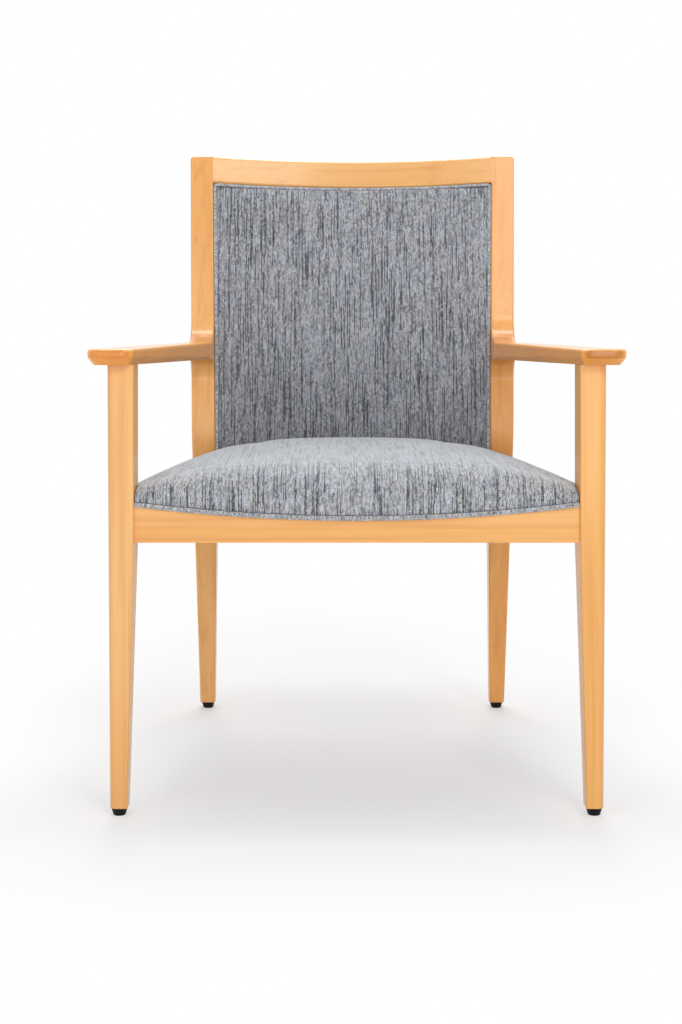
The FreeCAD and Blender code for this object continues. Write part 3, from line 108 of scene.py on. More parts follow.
class Tree:
    """The nodes of a material or a world, with short ways to add and join them."""

    def __init__(self, owner: bpy.types.ID) -> None:
        """Start with no nodes.

        Args:
            owner: The material or world that the nodes belong to.
        """
        owner.use_nodes = True
        self.owner = owner
        self.tree = owner.node_tree
        self.tree.nodes.clear()

    def node(self, kind: str, **settings: object) -> bpy.types.Node:
        """Add a node.

        Args:
            kind: The node's type, without its prefix.
            settings: Properties to set on it.

        Returns:
            The new node.
        """
        made = self.tree.nodes.new(f"ShaderNode{kind}")
        for key, value in settings.items():
            setattr(made, key, value)
        return made

    def join(self, source: object, target: Socket) -> None:
        """Feed a socket from another socket, or set it to a constant.

        Args:
            source: A socket, a number or a vector.
            target: The input to feed.
        """
        if isinstance(source, Socket):
            self.tree.links.new(source, target)
        else:
            target.default_value = source

    def feed(self, made: bpy.types.Node, *values: object, **named: object) -> Socket:
        """Feed the inputs of a node.

        Args:
            made: The node.
            values: Sockets or constants for its first inputs, in order.
            named: Sockets or constants for other inputs, with underscores for spaces in their names.

        Returns:
            The node's first output.
        """
        for value, target in zip(values, made.inputs):
            self.join(value, target)
        for key, value in named.items():
            self.join(value, made.inputs[key.replace("_", " ")])
        return made.outputs[0]

    def sum(self, operation: str, *values: object) -> Socket:
        """One step of arithmetic on sockets and numbers."""
        return self.feed(self.node("Math", operation=operation), *values)

    def step(self, value: Socket, low: float, high: float) -> Socket:
        """A smooth step.

        Args:
            value: The socket to read.
            low: Where the step is 0.
            high: Where it is 1. It may lie below low.

        Returns:
            The step's socket.
        """
        start, end = (1.0, 0.0) if high < low else (0.0, 1.0)
        made = self.node("MapRange", interpolation_type="SMOOTHSTEP")
        return self.feed(made, value, min(low, high), max(low, high), start, end)

    def vector(self, *parts: object) -> Socket:
        """A vector of three sockets or numbers."""
        return self.feed(self.node("CombineXYZ"), *parts)

    def split(self, vector: Socket) -> list[Socket]:
        """The three parts of a vector."""
        made = self.node("SeparateXYZ")
        self.feed(made, vector)
        return list(made.outputs)

    def place(self) -> Socket:
        """The place on the object, in metres."""
        return self.node("TexCoord").outputs["Object"]

    def facing(self) -> list[Socket]:
        """The three parts of the surface's normal."""
        return self.split(self.node("NewGeometry").outputs["Normal"])

    def seen(self) -> Socket:
        """Whether a ray shows what it meets: straight to the camera, mirrored or through glass.

        Returns:
            The socket of a value that is 1 for such a ray and 0 for others.
        """
        path = self.node("LightPath")
        found = path.outputs["Is Camera Ray"]
        for kind in ("Is Glossy Ray", "Is Transmission Ray"):
            found = self.sum("MAXIMUM", found, path.outputs[kind])
        return found

    def noise(self, at: Socket, scale: float = 1.0, detail: float = 2.0, bend: float = 0.0) -> Socket:
        """A noise field at a place, with its scale, its number of octaves and its distortion."""
        return self.feed(self.node("TexNoise"), Vector=at, Scale=scale, Detail=detail, Distortion=bend)

    def chance(self, at: Socket) -> Socket:
        """A chance value from 0 to 1, the same wherever the place is the same."""
        return self.feed(self.node("TexWhiteNoise", noise_dimensions="3D"), at)

    def mix(self, share: object, first: object, second: object, blend: str = "MIX") -> Socket:
        """A blend of two colours.

        Args:
            share: How much of the second there is.
            first: A colour or its socket.
            second: A colour or its socket.
            blend: The way of blending.

        Returns:
            The blended colour's socket.
        """
        made = self.node("Mix", data_type="RGBA", blend_type=blend)
        self.join(share, made.inputs[0])
        for value, number in ((first, MIX_FIRST), (second, MIX_SECOND)):
            self.join(rgba(value) if isinstance(value, tuple) else value, made.inputs[number])
        return made.outputs[MIX_RESULT]

    def bump(self, height: Socket, strength: float, distance: float) -> Socket:
        """A normal bumped by a height, with the bump's strength and its depth in metres."""
        return self.feed(self.node("Bump"), Strength=strength, Distance=distance, Height=height)

    def end(self, shader: Socket, kind: str = "OutputMaterial") -> bpy.types.ID:
        """Lead a shader to the output, and give back the material or world."""
        self.join(shader, self.node(kind).inputs["Surface"])
        return self.owner

    def surface(self, colour: Socket, rough: object, normal: Socket, **others: object) -> Material:
        """Finish the material with one principled shader, its other inputs given by name."""
        made = self.node("BsdfPrincipled")
        return self.end(self.feed(made, Base_Color=colour, Roughness=rough, Normal=normal, **others))


@dataclass(frozen=True)
class GrainLayer:
    """One layer of the wood's figure: spots to the metre across and along the grain, and how they show."""

    across: float
    along: float
    shift: float
    detail: float
    step: Pair
    share: float = 1.0
    bend: float = 0.0


@dataclass(frozen=True)
class WoodFinish:
    """Lacquered maple, with its grain along one axis of the chair. Its coat has a weight and a roughness."""

    name: str
    grain: Axis
    tone: Colour = (1.0, 1.0, 1.0)
    seed: float = 0.0
    figure: float = 1.0
    coat: Pair = (0.38, 0.15)
    end_tint: Colour = (0.78, 0.58, 0.42)
    end_step: Pair = (0.55, 0.9)
    end_share: float = 0.75
    light: Colour = (0.89, 0.475, 0.160)
    middle: Colour = (0.82, 0.385, 0.105)
    dark: Colour = (0.60, 0.235, 0.050)
    broad: GrainLayer = GrainLayer(14.0, 1.3, 3.1, 2.0, (0.32, 0.68), bend=0.4)
    rings: GrainLayer = GrainLayer(95.0, 2.6, 11.7, 1.5, (0.42, 0.78), share=0.32, bend=0.6)
    lines: GrainLayer = GrainLayer(520.0, 7.0, 23.9, 2.0, (0.5, 0.72), share=0.21)
    flecks: GrainLayer = GrainLayer(1500.0, 70.0, 41.3, 1.0, (0.6, 0.76), share=0.06)
    seed_share: float = 0.37
    rough: float = 0.3
    rough_change: float = 0.12
    gloss: float = 0.3
    fleck_height: float = 0.4
    bump: Pair = (0.06, 0.0004)

    def toned(self, colour: Colour) -> Colour:
        """A colour of the wood, scaled by this piece's tone."""
        return tuple(part * share for part, share in zip(colour, self.tone))

    def material(self) -> Material:
        """Build the finish.

        Returns:
            The material.
        """
        tree = Tree(bpy.data.materials.new(self.name))
        parts = tree.split(tree.place())
        along = parts.pop(self.grain.value)
        first, second = parts

        def noise(layer: GrainLayer) -> Socket:
            """A layer's noise, drawn out along the grain.

            Args:
                layer: The layer.

            Returns:
                The noise value's socket.
            """
            at = tree.vector(
                tree.sum("MULTIPLY_ADD", first, layer.across, self.seed + layer.shift),
                tree.sum("MULTIPLY_ADD", second, layer.across, self.seed * self.seed_share + layer.shift),
                tree.sum("MULTIPLY_ADD", along, layer.along, layer.shift))
            return tree.noise(at, detail=layer.detail, bend=layer.bend)

        broad, rings, lines, flecks = map(noise, (self.broad, self.rings, self.lines, self.flecks))
        colour = tree.mix(tree.step(broad, *self.broad.step), self.toned(self.middle), self.toned(self.light))
        for value, layer, weight in ((rings, self.rings, self.figure), (lines, self.lines, 1.0),
                                     (flecks, self.flecks, 1.0)):
            share = tree.sum("MULTIPLY", tree.step(value, *layer.step), layer.share * weight)
            colour = tree.mix(share, colour, self.toned(self.dark))
        end = tree.sum("ABSOLUTE", tree.facing()[self.grain.value])
        end_share = tree.sum("MULTIPLY", tree.step(end, *self.end_step), self.end_share)
        colour = tree.mix(end_share, colour, self.end_tint, blend="MULTIPLY")
        rough = tree.sum("MULTIPLY_ADD", broad, self.rough_change, self.rough)
        height = tree.sum("ADD", tree.sum("MULTIPLY", flecks, self.fleck_height), lines)
        return tree.surface(colour, rough, tree.bump(height, *self.bump), Coat_Weight=self.coat[0],
                            Coat_Roughness=self.coat[1], Specular_IOR_Level=self.gloss)


@dataclass(frozen=True)
class Thread:
    """One layer of the marl: pieces of yarn of a length, each with a tone of its own."""

    length: float
    weight: float
    seed: float
    step: Pair = (0.0, 1.0)

    @property
    def middle(self) -> float:
        """The layer's mean tone."""
        return self.weight * (1.0 - sum(self.step) / 2)


@dataclass(frozen=True)
class Spots:
    """Soft spots in the plane of a cloth: their width, their length and where their noise is read."""

    wide: float
    length: float
    shift: float
    detail: float = 2.0


@dataclass(frozen=True)
class WeaveFinish:
    """A marled wool weave: pieces of dark and pale yarn along its warp, crossed by a fine weft, with painted
    shade towards one edge where asked.
    """

    name: str
    run: Run = Run.ALONG
    seed: float = 0.0
    ground: Colour = (0.246, 0.252, 0.271)
    cool: Colour = (0.972, 0.99, 1.04)
    warm: Colour = (1.012, 1.0, 0.98)
    pitch: float = 0.0016
    grain: float = 0.0013
    grain_weight: float = 0.86
    weft: float = 0.0017
    weft_weight: float = 0.26
    threads: tuple[Thread, ...] = (Thread(0.062, 0.86, 3.7, (0.15, 0.27)), Thread(0.013, 0.5, 11.3),
                                   Thread(0.0042, 0.8, 23.9))
    drift: Spots = Spots(0.05, 0.12, 2.3, 1.0)
    cloud: Spots = Spots(0.014, 0.034, 29.9)
    cloud_weight: float = 0.5
    tint: Spots = Spots(0.016, 0.032, 37.7)
    tint_step: Pair = (0.36, 0.64)
    along_share: float = 1.7
    darkest: float = 0.12
    palest: float = 2.1
    # Painted shade: the share of its colour that the cloth keeps at its lower edge (1 for none), and the span
    # of the cloth's length over which that darkening fades out.
    painted_shade: float = 1.0
    painted_shade_step: Pair = (0.0, 1.0)
    rough: float = 0.92
    gloss: float = 0.2
    sheen: float = 0.88
    sheen_rough: float = 0.6
    sheen_tint: Colour = (0.86, 0.93, 1.0)
    bump: Pair = (0.4, 0.0005)

    def material(self) -> Material:
        """Build the finish.

        Returns:
            The material.
        """
        tree = Tree(bpy.data.materials.new(self.name))
        read = tree.node("Attribute", attribute_name=CLOTH, attribute_type="GEOMETRY")
        across, along = tree.split(read.outputs["Vector"])[:2]
        if self.run is Run.CROSSWISE:
            across, along = along, across

        def noise(spots: Spots) -> Socket:
            """The noise of soft spots.

            Args:
                spots: The spots.

            Returns:
                The noise value's socket.
            """
            at = tree.vector(
                tree.sum("MULTIPLY_ADD", across, 1.0 / spots.wide, self.seed + spots.shift),
                tree.sum("MULTIPLY_ADD", along, 1.0 / spots.length, spots.shift * self.along_share),
                spots.shift)
            return tree.noise(at, detail=spots.detail)

        def cell(value: Socket, size: float) -> Socket:
            """The number of the cell that a place falls in."""
            return tree.sum("FLOOR", tree.sum("DIVIDE", value, size))

        column = cell(tree.sum("MULTIPLY_ADD", noise(self.drift), self.pitch, across), self.pitch)
        fibre = tree.chance(tree.vector(cell(across, self.grain), cell(along, self.grain), self.seed))
        over = tree.sum("FLOORED_MODULO", tree.sum("ADD", column, cell(along, self.weft)), 2.0)
        tone = tree.sum("MULTIPLY", fibre, self.grain_weight)
        tone = tree.sum("MULTIPLY_ADD", over, self.weft_weight, tone)
        for yarn_or_seam_shadow in self.threads:
            start = tree.chance(tree.vector(column, yarn_or_seam_shadow.seed, self.seed))
            piece = tree.sum("FLOOR", tree.sum("MULTIPLY_ADD", along, 1.0 / yarn_or_seam_shadow.length, start))
            yarn = tree.step(tree.chance(tree.vector(column, piece, self.seed + yarn_or_seam_shadow.seed)), *yarn_or_seam_shadow.step)
            tone = tree.sum("MULTIPLY_ADD", yarn, yarn_or_seam_shadow.weight, tone)
        middle = (self.grain_weight + self.weft_weight + self.cloud_weight) / 2
        middle += sum(yarn_or_seam_shadow.middle for yarn_or_seam_shadow in self.threads)
        share = tree.sum("MULTIPLY_ADD", noise(self.cloud), self.cloud_weight, tone)
        share = tree.sum("SUBTRACT", share, middle - 1.0)
        share = tree.sum("MINIMUM", tree.sum("MAXIMUM", share, self.darkest), self.palest)
        # Painted shade: the cloth is darkened towards its lower edge.
        if self.painted_shade < 1.0:
            lift = tree.step(along, *self.painted_shade_step)
            painted_shade = tree.sum("MULTIPLY_ADD", lift, 1.0 - self.painted_shade, self.painted_shade)
            share = tree.sum("MULTIPLY", share, painted_shade)
        colour = tree.mix(tree.step(noise(self.tint), *self.tint_step), self.warm, self.cool)
        for factor in (self.ground, tree.vector(share, share, share)):
            colour = tree.mix(1.0, colour, factor, blend="MULTIPLY")
        return tree.surface(colour, self.rough, tree.bump(tone, *self.bump), Specular_IOR_Level=self.gloss,
                            Sheen_Weight=self.sheen, Sheen_Roughness=self.sheen_rough,
                            Sheen_Tint=rgba(self.sheen_tint))


@dataclass(frozen=True)
class PlainClothFinish:
    """A black spun cloth, pressed in small dots."""

    name: str
    colour: Colour = (0.012, 0.012, 0.013)
    paler: float = 2.6
    pale_step: Pair = (0.35, 0.7)
    pitch: float = 0.0018
    fibre_scale: float = 900.0
    rough: float = 0.85
    gloss: float = 0.3
    bump: Pair = (0.4, 0.0004)

    def material(self) -> Material:
        """Build the finish.

        Returns:
            The material.
        """
        tree = Tree(bpy.data.materials.new(self.name))
        place = tree.place()
        dots = tree.node("TexVoronoi", feature="DISTANCE_TO_EDGE")
        edge = tree.feed(dots, Vector=place, Scale=1.0 / self.pitch)
        fibres = tree.noise(place, scale=self.fibre_scale, detail=3.0)
        pale = tuple(part * self.paler for part in self.colour)
        colour = tree.mix(tree.step(fibres, *self.pale_step), self.colour, pale)
        height = tree.sum("ADD", edge, fibres)
        return tree.surface(colour, self.rough, tree.bump(height, *self.bump), Specular_IOR_Level=self.gloss)


@dataclass(frozen=True)
class PlainFinish:
    """A moulded or plated finish, with small changes of tone, gloss and height."""

    name: str
    colour: Colour
    worn: Colour
    rough: float
    rough_change: float = 0.2
    worn_step: Pair = (0.4, 0.72)
    metal: float = 0.0
    gloss: float = 0.5
    patch_scale: float = 220.0
    speck_scale: float = 1980.0
    bump: Pair = (0.25, 0.00012)

    def material(self) -> Material:
        """Build the finish.

        Returns:
            The material.
        """
        tree = Tree(bpy.data.materials.new(self.name))
        place = tree.place()
        patches = tree.noise(place, scale=self.patch_scale, detail=3.0)
        specks = tree.noise(place, scale=self.speck_scale, detail=1.0)
        colour = tree.mix(tree.step(patches, *self.worn_step), self.colour, self.worn)
        rough = tree.sum("MULTIPLY_ADD", patches, self.rough_change, self.rough - self.rough_change / 2)
        return tree.surface(colour, rough, tree.bump(specks, *self.bump), Metallic=self.metal,
                            Specular_IOR_Level=self.gloss)


@dataclass(frozen=True)
class PlyFinish:
    """Moulded plywood: pale veneer faces, with the plies showing on its edges."""

    name: str
    face: Colour = (0.62, 0.46, 0.27)
    glue: Colour = (0.30, 0.18, 0.09)
    ply: float = 0.0015
    spots: tuple[float, float, float] = (160.0, 9.0, 9.0)
    bend: float = 0.5
    figure_step: Pair = (0.45, 0.75)
    figure_share: float = 0.5
    glue_step: Pair = (0.2, 0.7)
    edge_step: Pair = (0.5, 0.2)
    edge_share: float = 0.6
    rough: float = 0.7
    bump: Pair = (0.15, 0.0003)

    def material(self) -> Material:
        """Build the finish.

        Returns:
            The material.
        """
        tree = Tree(bpy.data.materials.new(self.name))
        parts = tree.split(tree.place())
        drawn = [tree.sum("MULTIPLY", part, scale) for part, scale in zip(parts, self.spots)]
        figure = tree.noise(tree.vector(*drawn), detail=3.0, bend=self.bend)
        streaks = tree.sum("MULTIPLY", tree.step(figure, *self.figure_step), self.figure_share)
        colour = tree.mix(streaks, self.face, self.glue)
        layers = tree.sum("SINE", tree.sum("MULTIPLY", parts[2], math.tau / self.ply))
        edge = tree.step(tree.sum("ABSOLUTE", tree.facing()[2]), *self.edge_step)
        plies = tree.sum("MULTIPLY", edge, tree.step(layers, *self.glue_step))
        colour = tree.mix(tree.sum("MULTIPLY", plies, self.edge_share), colour, self.glue)
        return tree.surface(colour, self.rough, tree.bump(figure, *self.bump))


Finish = Union[WoodFinish, PlainFinish, PlyFinish]


# The shape that the pieces share


@dataclass(frozen=True)
class ChairSizes:
    """The places of the wooden frame that the soft pieces are fitted to, in metres."""

    leg_front: float = -0.289681
    leg_depth: float = 0.045
    leg_in: float = 0.2793
    rail_setback: float = 0.005
    rail_thickness: float = 0.022
    rail_top: float = 0.387
    rail_scoop: float = 0.0175
    seat_depth: float = 0.475
    bend_height: float = 0.44
    lean: float = math.radians(9.0)
    overall_height: float = 0.88
    crest_height: float = 0.043
    post_gap_seat: float = 0.426
    post_gap_top: float = 0.4445
    post_width: float = 0.036
    side_rail_thickness: float = 0.02
    side_rail_setback: float = 0.002
    back_sag: float = 0.034
    back_rise: float = 0.027
    lower_rail_rise: float = 0.046
    foot_rake: float = 0.063 / 0.43

    @property
    def leg_back(self) -> float:
        """Y of the rear faces of the front legs."""
        return self.leg_front + self.leg_depth

    @property
    def rail_front(self) -> float:
        """Y of the face of the front seat rail."""
        return self.leg_front + self.rail_setback

    @property
    def rail_back(self) -> float:
        """Y of the rear face of the front seat rail."""
        return self.rail_front + self.rail_thickness

    @property
    def bend_front(self) -> float:
        """Y of the front of the posts at their bend."""
        return self.leg_front + self.seat_depth

    @property
    def seat_rear(self) -> float:
        """Y of the front of the posts at the top of the rails."""
        return self.bend_front + (self.bend_height - self.rail_top) * self.foot_rake

    @property
    def back_bottom(self) -> float:
        """The lower end of the back, up the lean from the bend."""
        return (self.rail_top + self.back_rise - self.bend_height) / math.cos(self.lean)

    @property
    def lower_rail_top(self) -> float:
        """The top of the lower back rail, up the lean from the bend."""
        return self.back_bottom + self.lower_rail_rise

    @property
    def crest_bottom(self) -> float:
        """The underside of the crest rail, up the lean from the bend."""
        return (self.overall_height - self.bend_height) / math.cos(self.lean) - self.crest_height

    def post_inside(self, height: Array) -> Array:
        """X of the inner faces of the posts, at a height above the floor."""
        flare = (self.post_gap_top - self.post_gap_seat) / 2 / (self.overall_height - self.rail_top)
        return self.post_gap_seat / 2 + (height - self.rail_top) * flare

    def post_inside_up(self, up: Array) -> Array:
        """X of the inner faces of the posts, at a distance up the lean from the bend."""
        return self.post_inside(self.bend_height + up * math.cos(self.lean))

    def side_rail_outside(self, along: Array) -> Array:
        """X of the outer face of a side rail.

        Args:
            along: The place along Y.

        Returns:
            The distance from the middle plane.
        """
        front = self.leg_in + self.side_rail_thickness
        rear = self.post_inside(self.rail_top) + self.post_width - self.side_rail_setback
        slope = (front - rear) / (self.seat_rear - self.leg_back)
        return front - (along - self.leg_back) * slope

    @staticmethod
    def arc(across: Array, half: float, depth: float) -> Array:
        """Depth of a round arc below its chord, by its half chord and its depth in the middle."""
        bend = (half ** 2 + depth ** 2) / (2 * depth)
        return np.sqrt(bend ** 2 - np.square(across)) - bend + depth

    def sag(self, across: Array) -> Array:
        """How far the curved back lies behind its two ends."""
        return self.arc(across, self.post_inside(self.overall_height), self.back_sag)

    def dip(self, across: Array) -> Array:
        """How far the scooped top of the front rail lies below its two ends."""
        return self.arc(np.minimum(np.abs(across), self.leg_in), self.leg_in, self.rail_scoop)

    def saddle(self, across: Array, along: Array) -> Array:
        """Height of the tops of the seat rails and of the deck's underside between them, at X and Y."""
        fade = np.clip((self.seat_rear - along) / (self.seat_rear - self.rail_back), 0.0, 1.0)
        return self.rail_top - self.dip(across) * fade

    def lean_place(self, across: Array, up: Array, back: Array) -> Array:
        """Places in the leaning plane of the back.

        Args:
            across: Distances along X.
            up: Distances up the lean from the bend.
            back: Distances behind the fronts of the posts.

        Returns:
            The places, one to a row.
        """
        sine, cosine = math.sin(self.lean), math.cos(self.lean)
        across, up, back = np.broadcast_arrays(across, up, back)
        along = self.bend_front + up * sine + back * cosine
        height = self.bend_height + up * cosine - back * sine
        return np.stack([across, along, height], axis=-1)


SIZES = ChairSizes()


def quarter_round(distance: Array, reach: float) -> Array:
    """A quarter of a circle, from 0 at an edge to 1 at a reach inside it."""
    share = np.clip(distance / reach, 0.0, 1.0)
    return np.sqrt(1.0 - np.square(1.0 - share))


def spread(count: int, edge: Sequence[float]) -> Array:
    """Shares from 0 to 1, closer together near both ends.

    Args:
        count: How many steps there are between the ends' own shares.
        edge: The shares next to an end.

    Returns:
        The shares.
    """
    near = np.array(edge)
    middle = np.linspace(near[-1], 1.0 - near[-1], count)
    return np.concatenate([near[:-1], middle, 1.0 - near[-2::-1]])


def new_piece(name: str, points: Array, faces: Faces, material: Material,
              cloth: Optional[Array] = None) -> Piece:
    """A smooth mesh piece.

    Args:
        name: The piece's name.
        points: Its places, one to a row.
        faces: Its faces, by the numbers of their points.
        material: Its finish.
        cloth: The place of each point in the flat cloth, across and along.

    Returns:
        The new object.
    """
    mesh = bpy.data.meshes.new(name)
    mesh.from_pydata([tuple(point) for point in points], [], faces)
    mesh.validate()
    mesh.polygons.foreach_set("use_smooth", [True] * len(mesh.polygons))
    if cloth is not None:
        flat = np.zeros((len(points), 3), np.float32)
        flat[:, :2] = cloth
        made = mesh.attributes.new(CLOTH, "FLOAT_VECTOR", "POINT")
        made.data.foreach_set("vector", flat.ravel())
    mesh.materials.append(material)
    piece = bpy.data.objects.new(name, mesh)
    bpy.context.scene.collection.objects.link(piece)
    return piece


def fit(piece: Piece, slot: str, *nodes: str) -> None:
    """Fix a piece to the chair, in the place of nodes of the frame.

    Args:
        piece: The piece.
        slot: The record's slot that its finish is from. It is not used.
        nodes: The nodes that it stands for.
    """
    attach(piece, BODY)
    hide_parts(*nodes)


def grid_faces(keep: Array, rows: int, columns: int, flip: bool = False) -> Faces:
    """The faces of a grid of points, which may run round to its start.

    Args:
        keep: Which cells of the grid there are.
        rows: How many rows of points there are.
        columns: How many points a row has.
        flip: Whether the faces look the other way.

    Returns:
        The faces, by the numbers of their points.
    """
    faces = []
    for row, column in np.argwhere(keep).tolist():
        here, after, beside = row * columns, (row + 1) % rows * columns, (column + 1) % columns
        face = (here + column, here + beside, after + beside, after + column)
        faces.append(face[:1] + face[:0:-1] if flip else face)
    return faces


def renumber(faces: Faces) -> tuple[list[int], Faces]:
    """Number the points afresh, without those that no face has.

    Args:
        faces: The faces, by the numbers of their points.

    Returns:
        The old numbers of the points that are left, and the faces.
    """
    used = sorted({index for face in faces for index in face})
    number = {index: count for count, index in enumerate(used)}
    return used, [tuple(number[index] for index in face) for face in faces]


def close_grid(top: Array, floor: Array, flat: Array, keep: Array,
               walls: Sequence[Pair]) -> tuple[Array, Faces, Array, Array]:
    """Carry the outline of a grid down in walls to a floor of the same grid.

    Args:
        top: The upper points, as rows and columns of places.
        floor: The lower points, in the same order.
        flat: The place of each upper point in the flat cloth.
        keep: Which cells of the grid there are.
        walls: The rings between the outline and the floor: how far down, from 0 to 1, and how far in
            from the outline, in metres.

    Returns:
        The points, the faces, the flat places, and which points are free to move.
    """
    used, cells = renumber(grid_faces(keep, *top.shape[:2]))
    top, floor, flat = top.reshape(-1, 3)[used], floor.reshape(-1, 3)[used], flat.reshape(-1, 2)[used]
    edges = [edge for cell in cells for edge in zip(cell, cell[1:] + cell[:1])]
    known = set(edges)
    ring = {first: second for first, second in edges if (second, first) not in known}
    loop = [next(iter(ring))]
    while ring[loop[-1]] != loop[0]:
        loop.append(ring[loop[-1]])
    loop_top, loop_floor = top[loop], floor[loop]
    ahead = np.roll(loop_floor, -1, axis=0) - np.roll(loop_floor, 1, axis=0)
    down = loop_floor - loop_top
    inward = np.cross(ahead, down)
    inward /= np.linalg.norm(inward, axis=1, keepdims=True) + TINY
    length = np.linalg.norm(down, axis=1, keepdims=True)
    side = np.abs(inward[:, :1])
    points, flats, faces, last = [top], [flat], list(cells), loop
    count = len(top)
    for share, tuck in walls:
        points.append(loop_top + down * share + inward * tuck)
        drop = length * share
        move = np.concatenate([np.sign(loop_top[:, :1]) * drop * side, -drop * (1.0 - side)], axis=1)
        flats.append(flat[loop] + move)
        numbers = list(range(count, count + len(loop)))
        for step in range(len(loop)):
            after = (step + 1) % len(loop)
            faces.append((last[after], last[step], numbers[step], numbers[after]))
        count += len(loop)
        last = numbers
    inner = {index: count + index for index in range(len(top))}
    inner.update(zip(loop, last))
    faces.extend(tuple(inner[index] for index in reversed(cell)) for cell in cells)
    points, flats = np.concatenate(points + [floor]), np.concatenate(flats + [flat])
    free = np.arange(len(points)) < len(top)
    used, faces = renumber(faces)
    return points[used], faces, flats[used], free[used]


COVER = {"quality": 6, "mass": 0.25, "tension_stiffness": 25.0, "compression_stiffness": 25.0,
         "shear_stiffness": 12.0, "bending_stiffness": 2.0, "use_pressure": True}


def settle_cloth(piece: Piece, free: Array, pressure: float, cap: float, frames: int = 20) -> None:
    """Swell a cover over its filling, holding its edges, and keep the result.

    Args:
        piece: The piece, whose mesh takes the result.
        free: Which points may move.
        pressure: The pressure of the filling.
        cap: How far a point may move, in metres.
        frames: How many steps the cloth takes.
    """
    def places(mesh: bpy.types.Mesh) -> Array:
        """The places of a mesh's points."""
        found = np.zeros(len(mesh.vertices) * 3, np.float32)
        mesh.vertices.foreach_get("co", found)
        return found.reshape(-1, 3)

    start = places(piece.data)
    held = piece.vertex_groups.new(name="held")
    held.add([index for index in range(len(start)) if not free[index]], 1.0, "REPLACE")
    cloth = piece.modifiers.new("cloth", "CLOTH")
    for key, value in COVER.items():
        setattr(cloth.settings, key, value)
    cloth.settings.uniform_pressure_force = pressure
    cloth.settings.vertex_group_mass = held.name
    cloth.settings.effector_weights.gravity = 0.0
    scene = bpy.context.scene
    for step in range(1, frames + 1):
        scene.frame_set(step)
    shift = places(piece.evaluated_get(bpy.context.evaluated_depsgraph_get()).data) - start
    far = np.linalg.norm(shift, axis=1, keepdims=True)
    shift *= np.minimum(1.0, cap / np.maximum(far, TINY))
    piece.modifiers.remove(cloth)
    piece.vertex_groups.remove(held)
    scene.frame_set(1)
    piece.data.vertices.foreach_set("co", (start + shift).astype(np.float32).ravel())
    piece.data.update()
    LOG.info("%s moved %.1f mm at most", piece.name, float(far.max()) * MILLIMETRES)


@dataclass(frozen=True)
class CordRun:
    """One run of a cord: its middle line, its radius, whether it closes, and the number of its finish."""

    path: Array
    radius: float
    closed: bool = False
    finish: int = 0
    sides: int = 14

    def mesh(self, first_number: int) -> tuple[Array, Faces, Array]:
        """A round tube along the run.

        Args:
            first_number: The number of its first point.

        Returns:
            The points, the faces and the flat places.
        """
        path, sides = self.path, self.sides
        if self.closed:
            ahead = np.roll(path, -1, axis=0) - np.roll(path, 1, axis=0)
        else:
            ahead = np.gradient(path, axis=0)
        ahead /= np.linalg.norm(ahead, axis=1, keepdims=True)
        rise = np.array([0.0, 0.0, 1.0] if abs(ahead[0, 2]) < STEEP else [0.0, 1.0, 0.0])
        along = np.concatenate([[0.0], np.cumsum(np.linalg.norm(np.diff(path, axis=0), axis=1))])
        angles = np.arange(sides) / sides * math.tau
        points, flats = [], []
        for place, way, distance in zip(path, ahead, along):
            rise = rise - way * np.dot(rise, way)
            rise /= np.linalg.norm(rise)
            ring = np.outer(np.cos(angles), np.cross(way, rise)) + np.outer(np.sin(angles), rise)
            points.append(place + ring * self.radius)
            flats.append(np.stack([angles * self.radius, np.full(sides, distance)], axis=1))
        count = len(path)
        cells = np.ones((count if self.closed else count - 1, sides), bool)
        faces = grid_faces(cells, count, sides)
        if not self.closed:
            faces.append(tuple(reversed(range(sides))))
            faces.append(tuple(range((count - 1) * sides, count * sides)))
        faces = [tuple(first_number + index for index in face) for face in faces]
        return np.concatenate(points), faces, np.concatenate(flats)


def cord_piece(name: str, runs: Sequence[CordRun], finishes: Sequence[Material]) -> Piece:
    """A piece made of runs of cord.

    Args:
        name: The piece's name.
        runs: Its runs.
        finishes: Its finishes.

    Returns:
        The new object.
    """
    points, faces, flats, slots = [], [], [], []
    count = 0
    for run in runs:
        run_points, run_faces, run_flats = run.mesh(count)
        count += len(run_points)
        points.append(run_points)
        faces.extend(run_faces)
        flats.append(run_flats)
        slots.extend([run.finish] * len(run_faces))
    piece = new_piece(name, np.concatenate(points), faces, finishes[0], np.concatenate(flats))
    for finish in finishes[1:]:
        piece.data.materials.append(finish)
    piece.data.polygons.foreach_set("material_index", slots)
    return piece


def sheet_piece(name: str, points: Array, flat: Array, finish: Material, thickness: float) -> Piece:
    """A sheet of cloth with a thickness.

    Args:
        name: The piece's name.
        points: Its places, as rows and columns.
        flat: The place of each point in the flat cloth.
        finish: Its finish.
        thickness: Its thickness.

    Returns:
        The new object.
    """
    rows, columns = points.shape[:2]
    faces = grid_faces(np.ones((rows - 1, columns - 1), bool), rows, columns, flip=True)
    cloth = new_piece(name, points.reshape(-1, 3), faces, finish, flat.reshape(-1, 2))
    cloth.modifiers.new("thickness", "SOLIDIFY").thickness = thickness
    return cloth


# Pieces


@dataclass
class Cushion:
    """What both cushions are: a cover that is held along its edges and swells over its filling."""

    weave: Material
    pressure: float
    swell: float
    fill: float
    walls: tuple[Pair, ...]

    def close(self, name: str, top: Array, floor: Array, flat: Array, keep: Array) -> Piece:
        """Close a grid into the cushion, and settle its cover.

        Args:
            name: The cushion's name.
            top: The upper points, as rows and columns of places.
            floor: The lower points, in the same order.
            flat: The place of each upper point in the flat cloth.
            keep: Which cells of the grid there are.

        Returns:
            The cushion.
        """
        points, faces, flats, free = close_grid(top, floor, flat, keep, self.walls)
        cushion = new_piece(name, points, faces, self.weave, flats)
        settle_cloth(cushion, free, self.pressure, self.swell)
        finer = cushion.modifiers.new("subdivision", "SUBSURF")
        finer.levels = finer.render_levels = 1
        return cushion


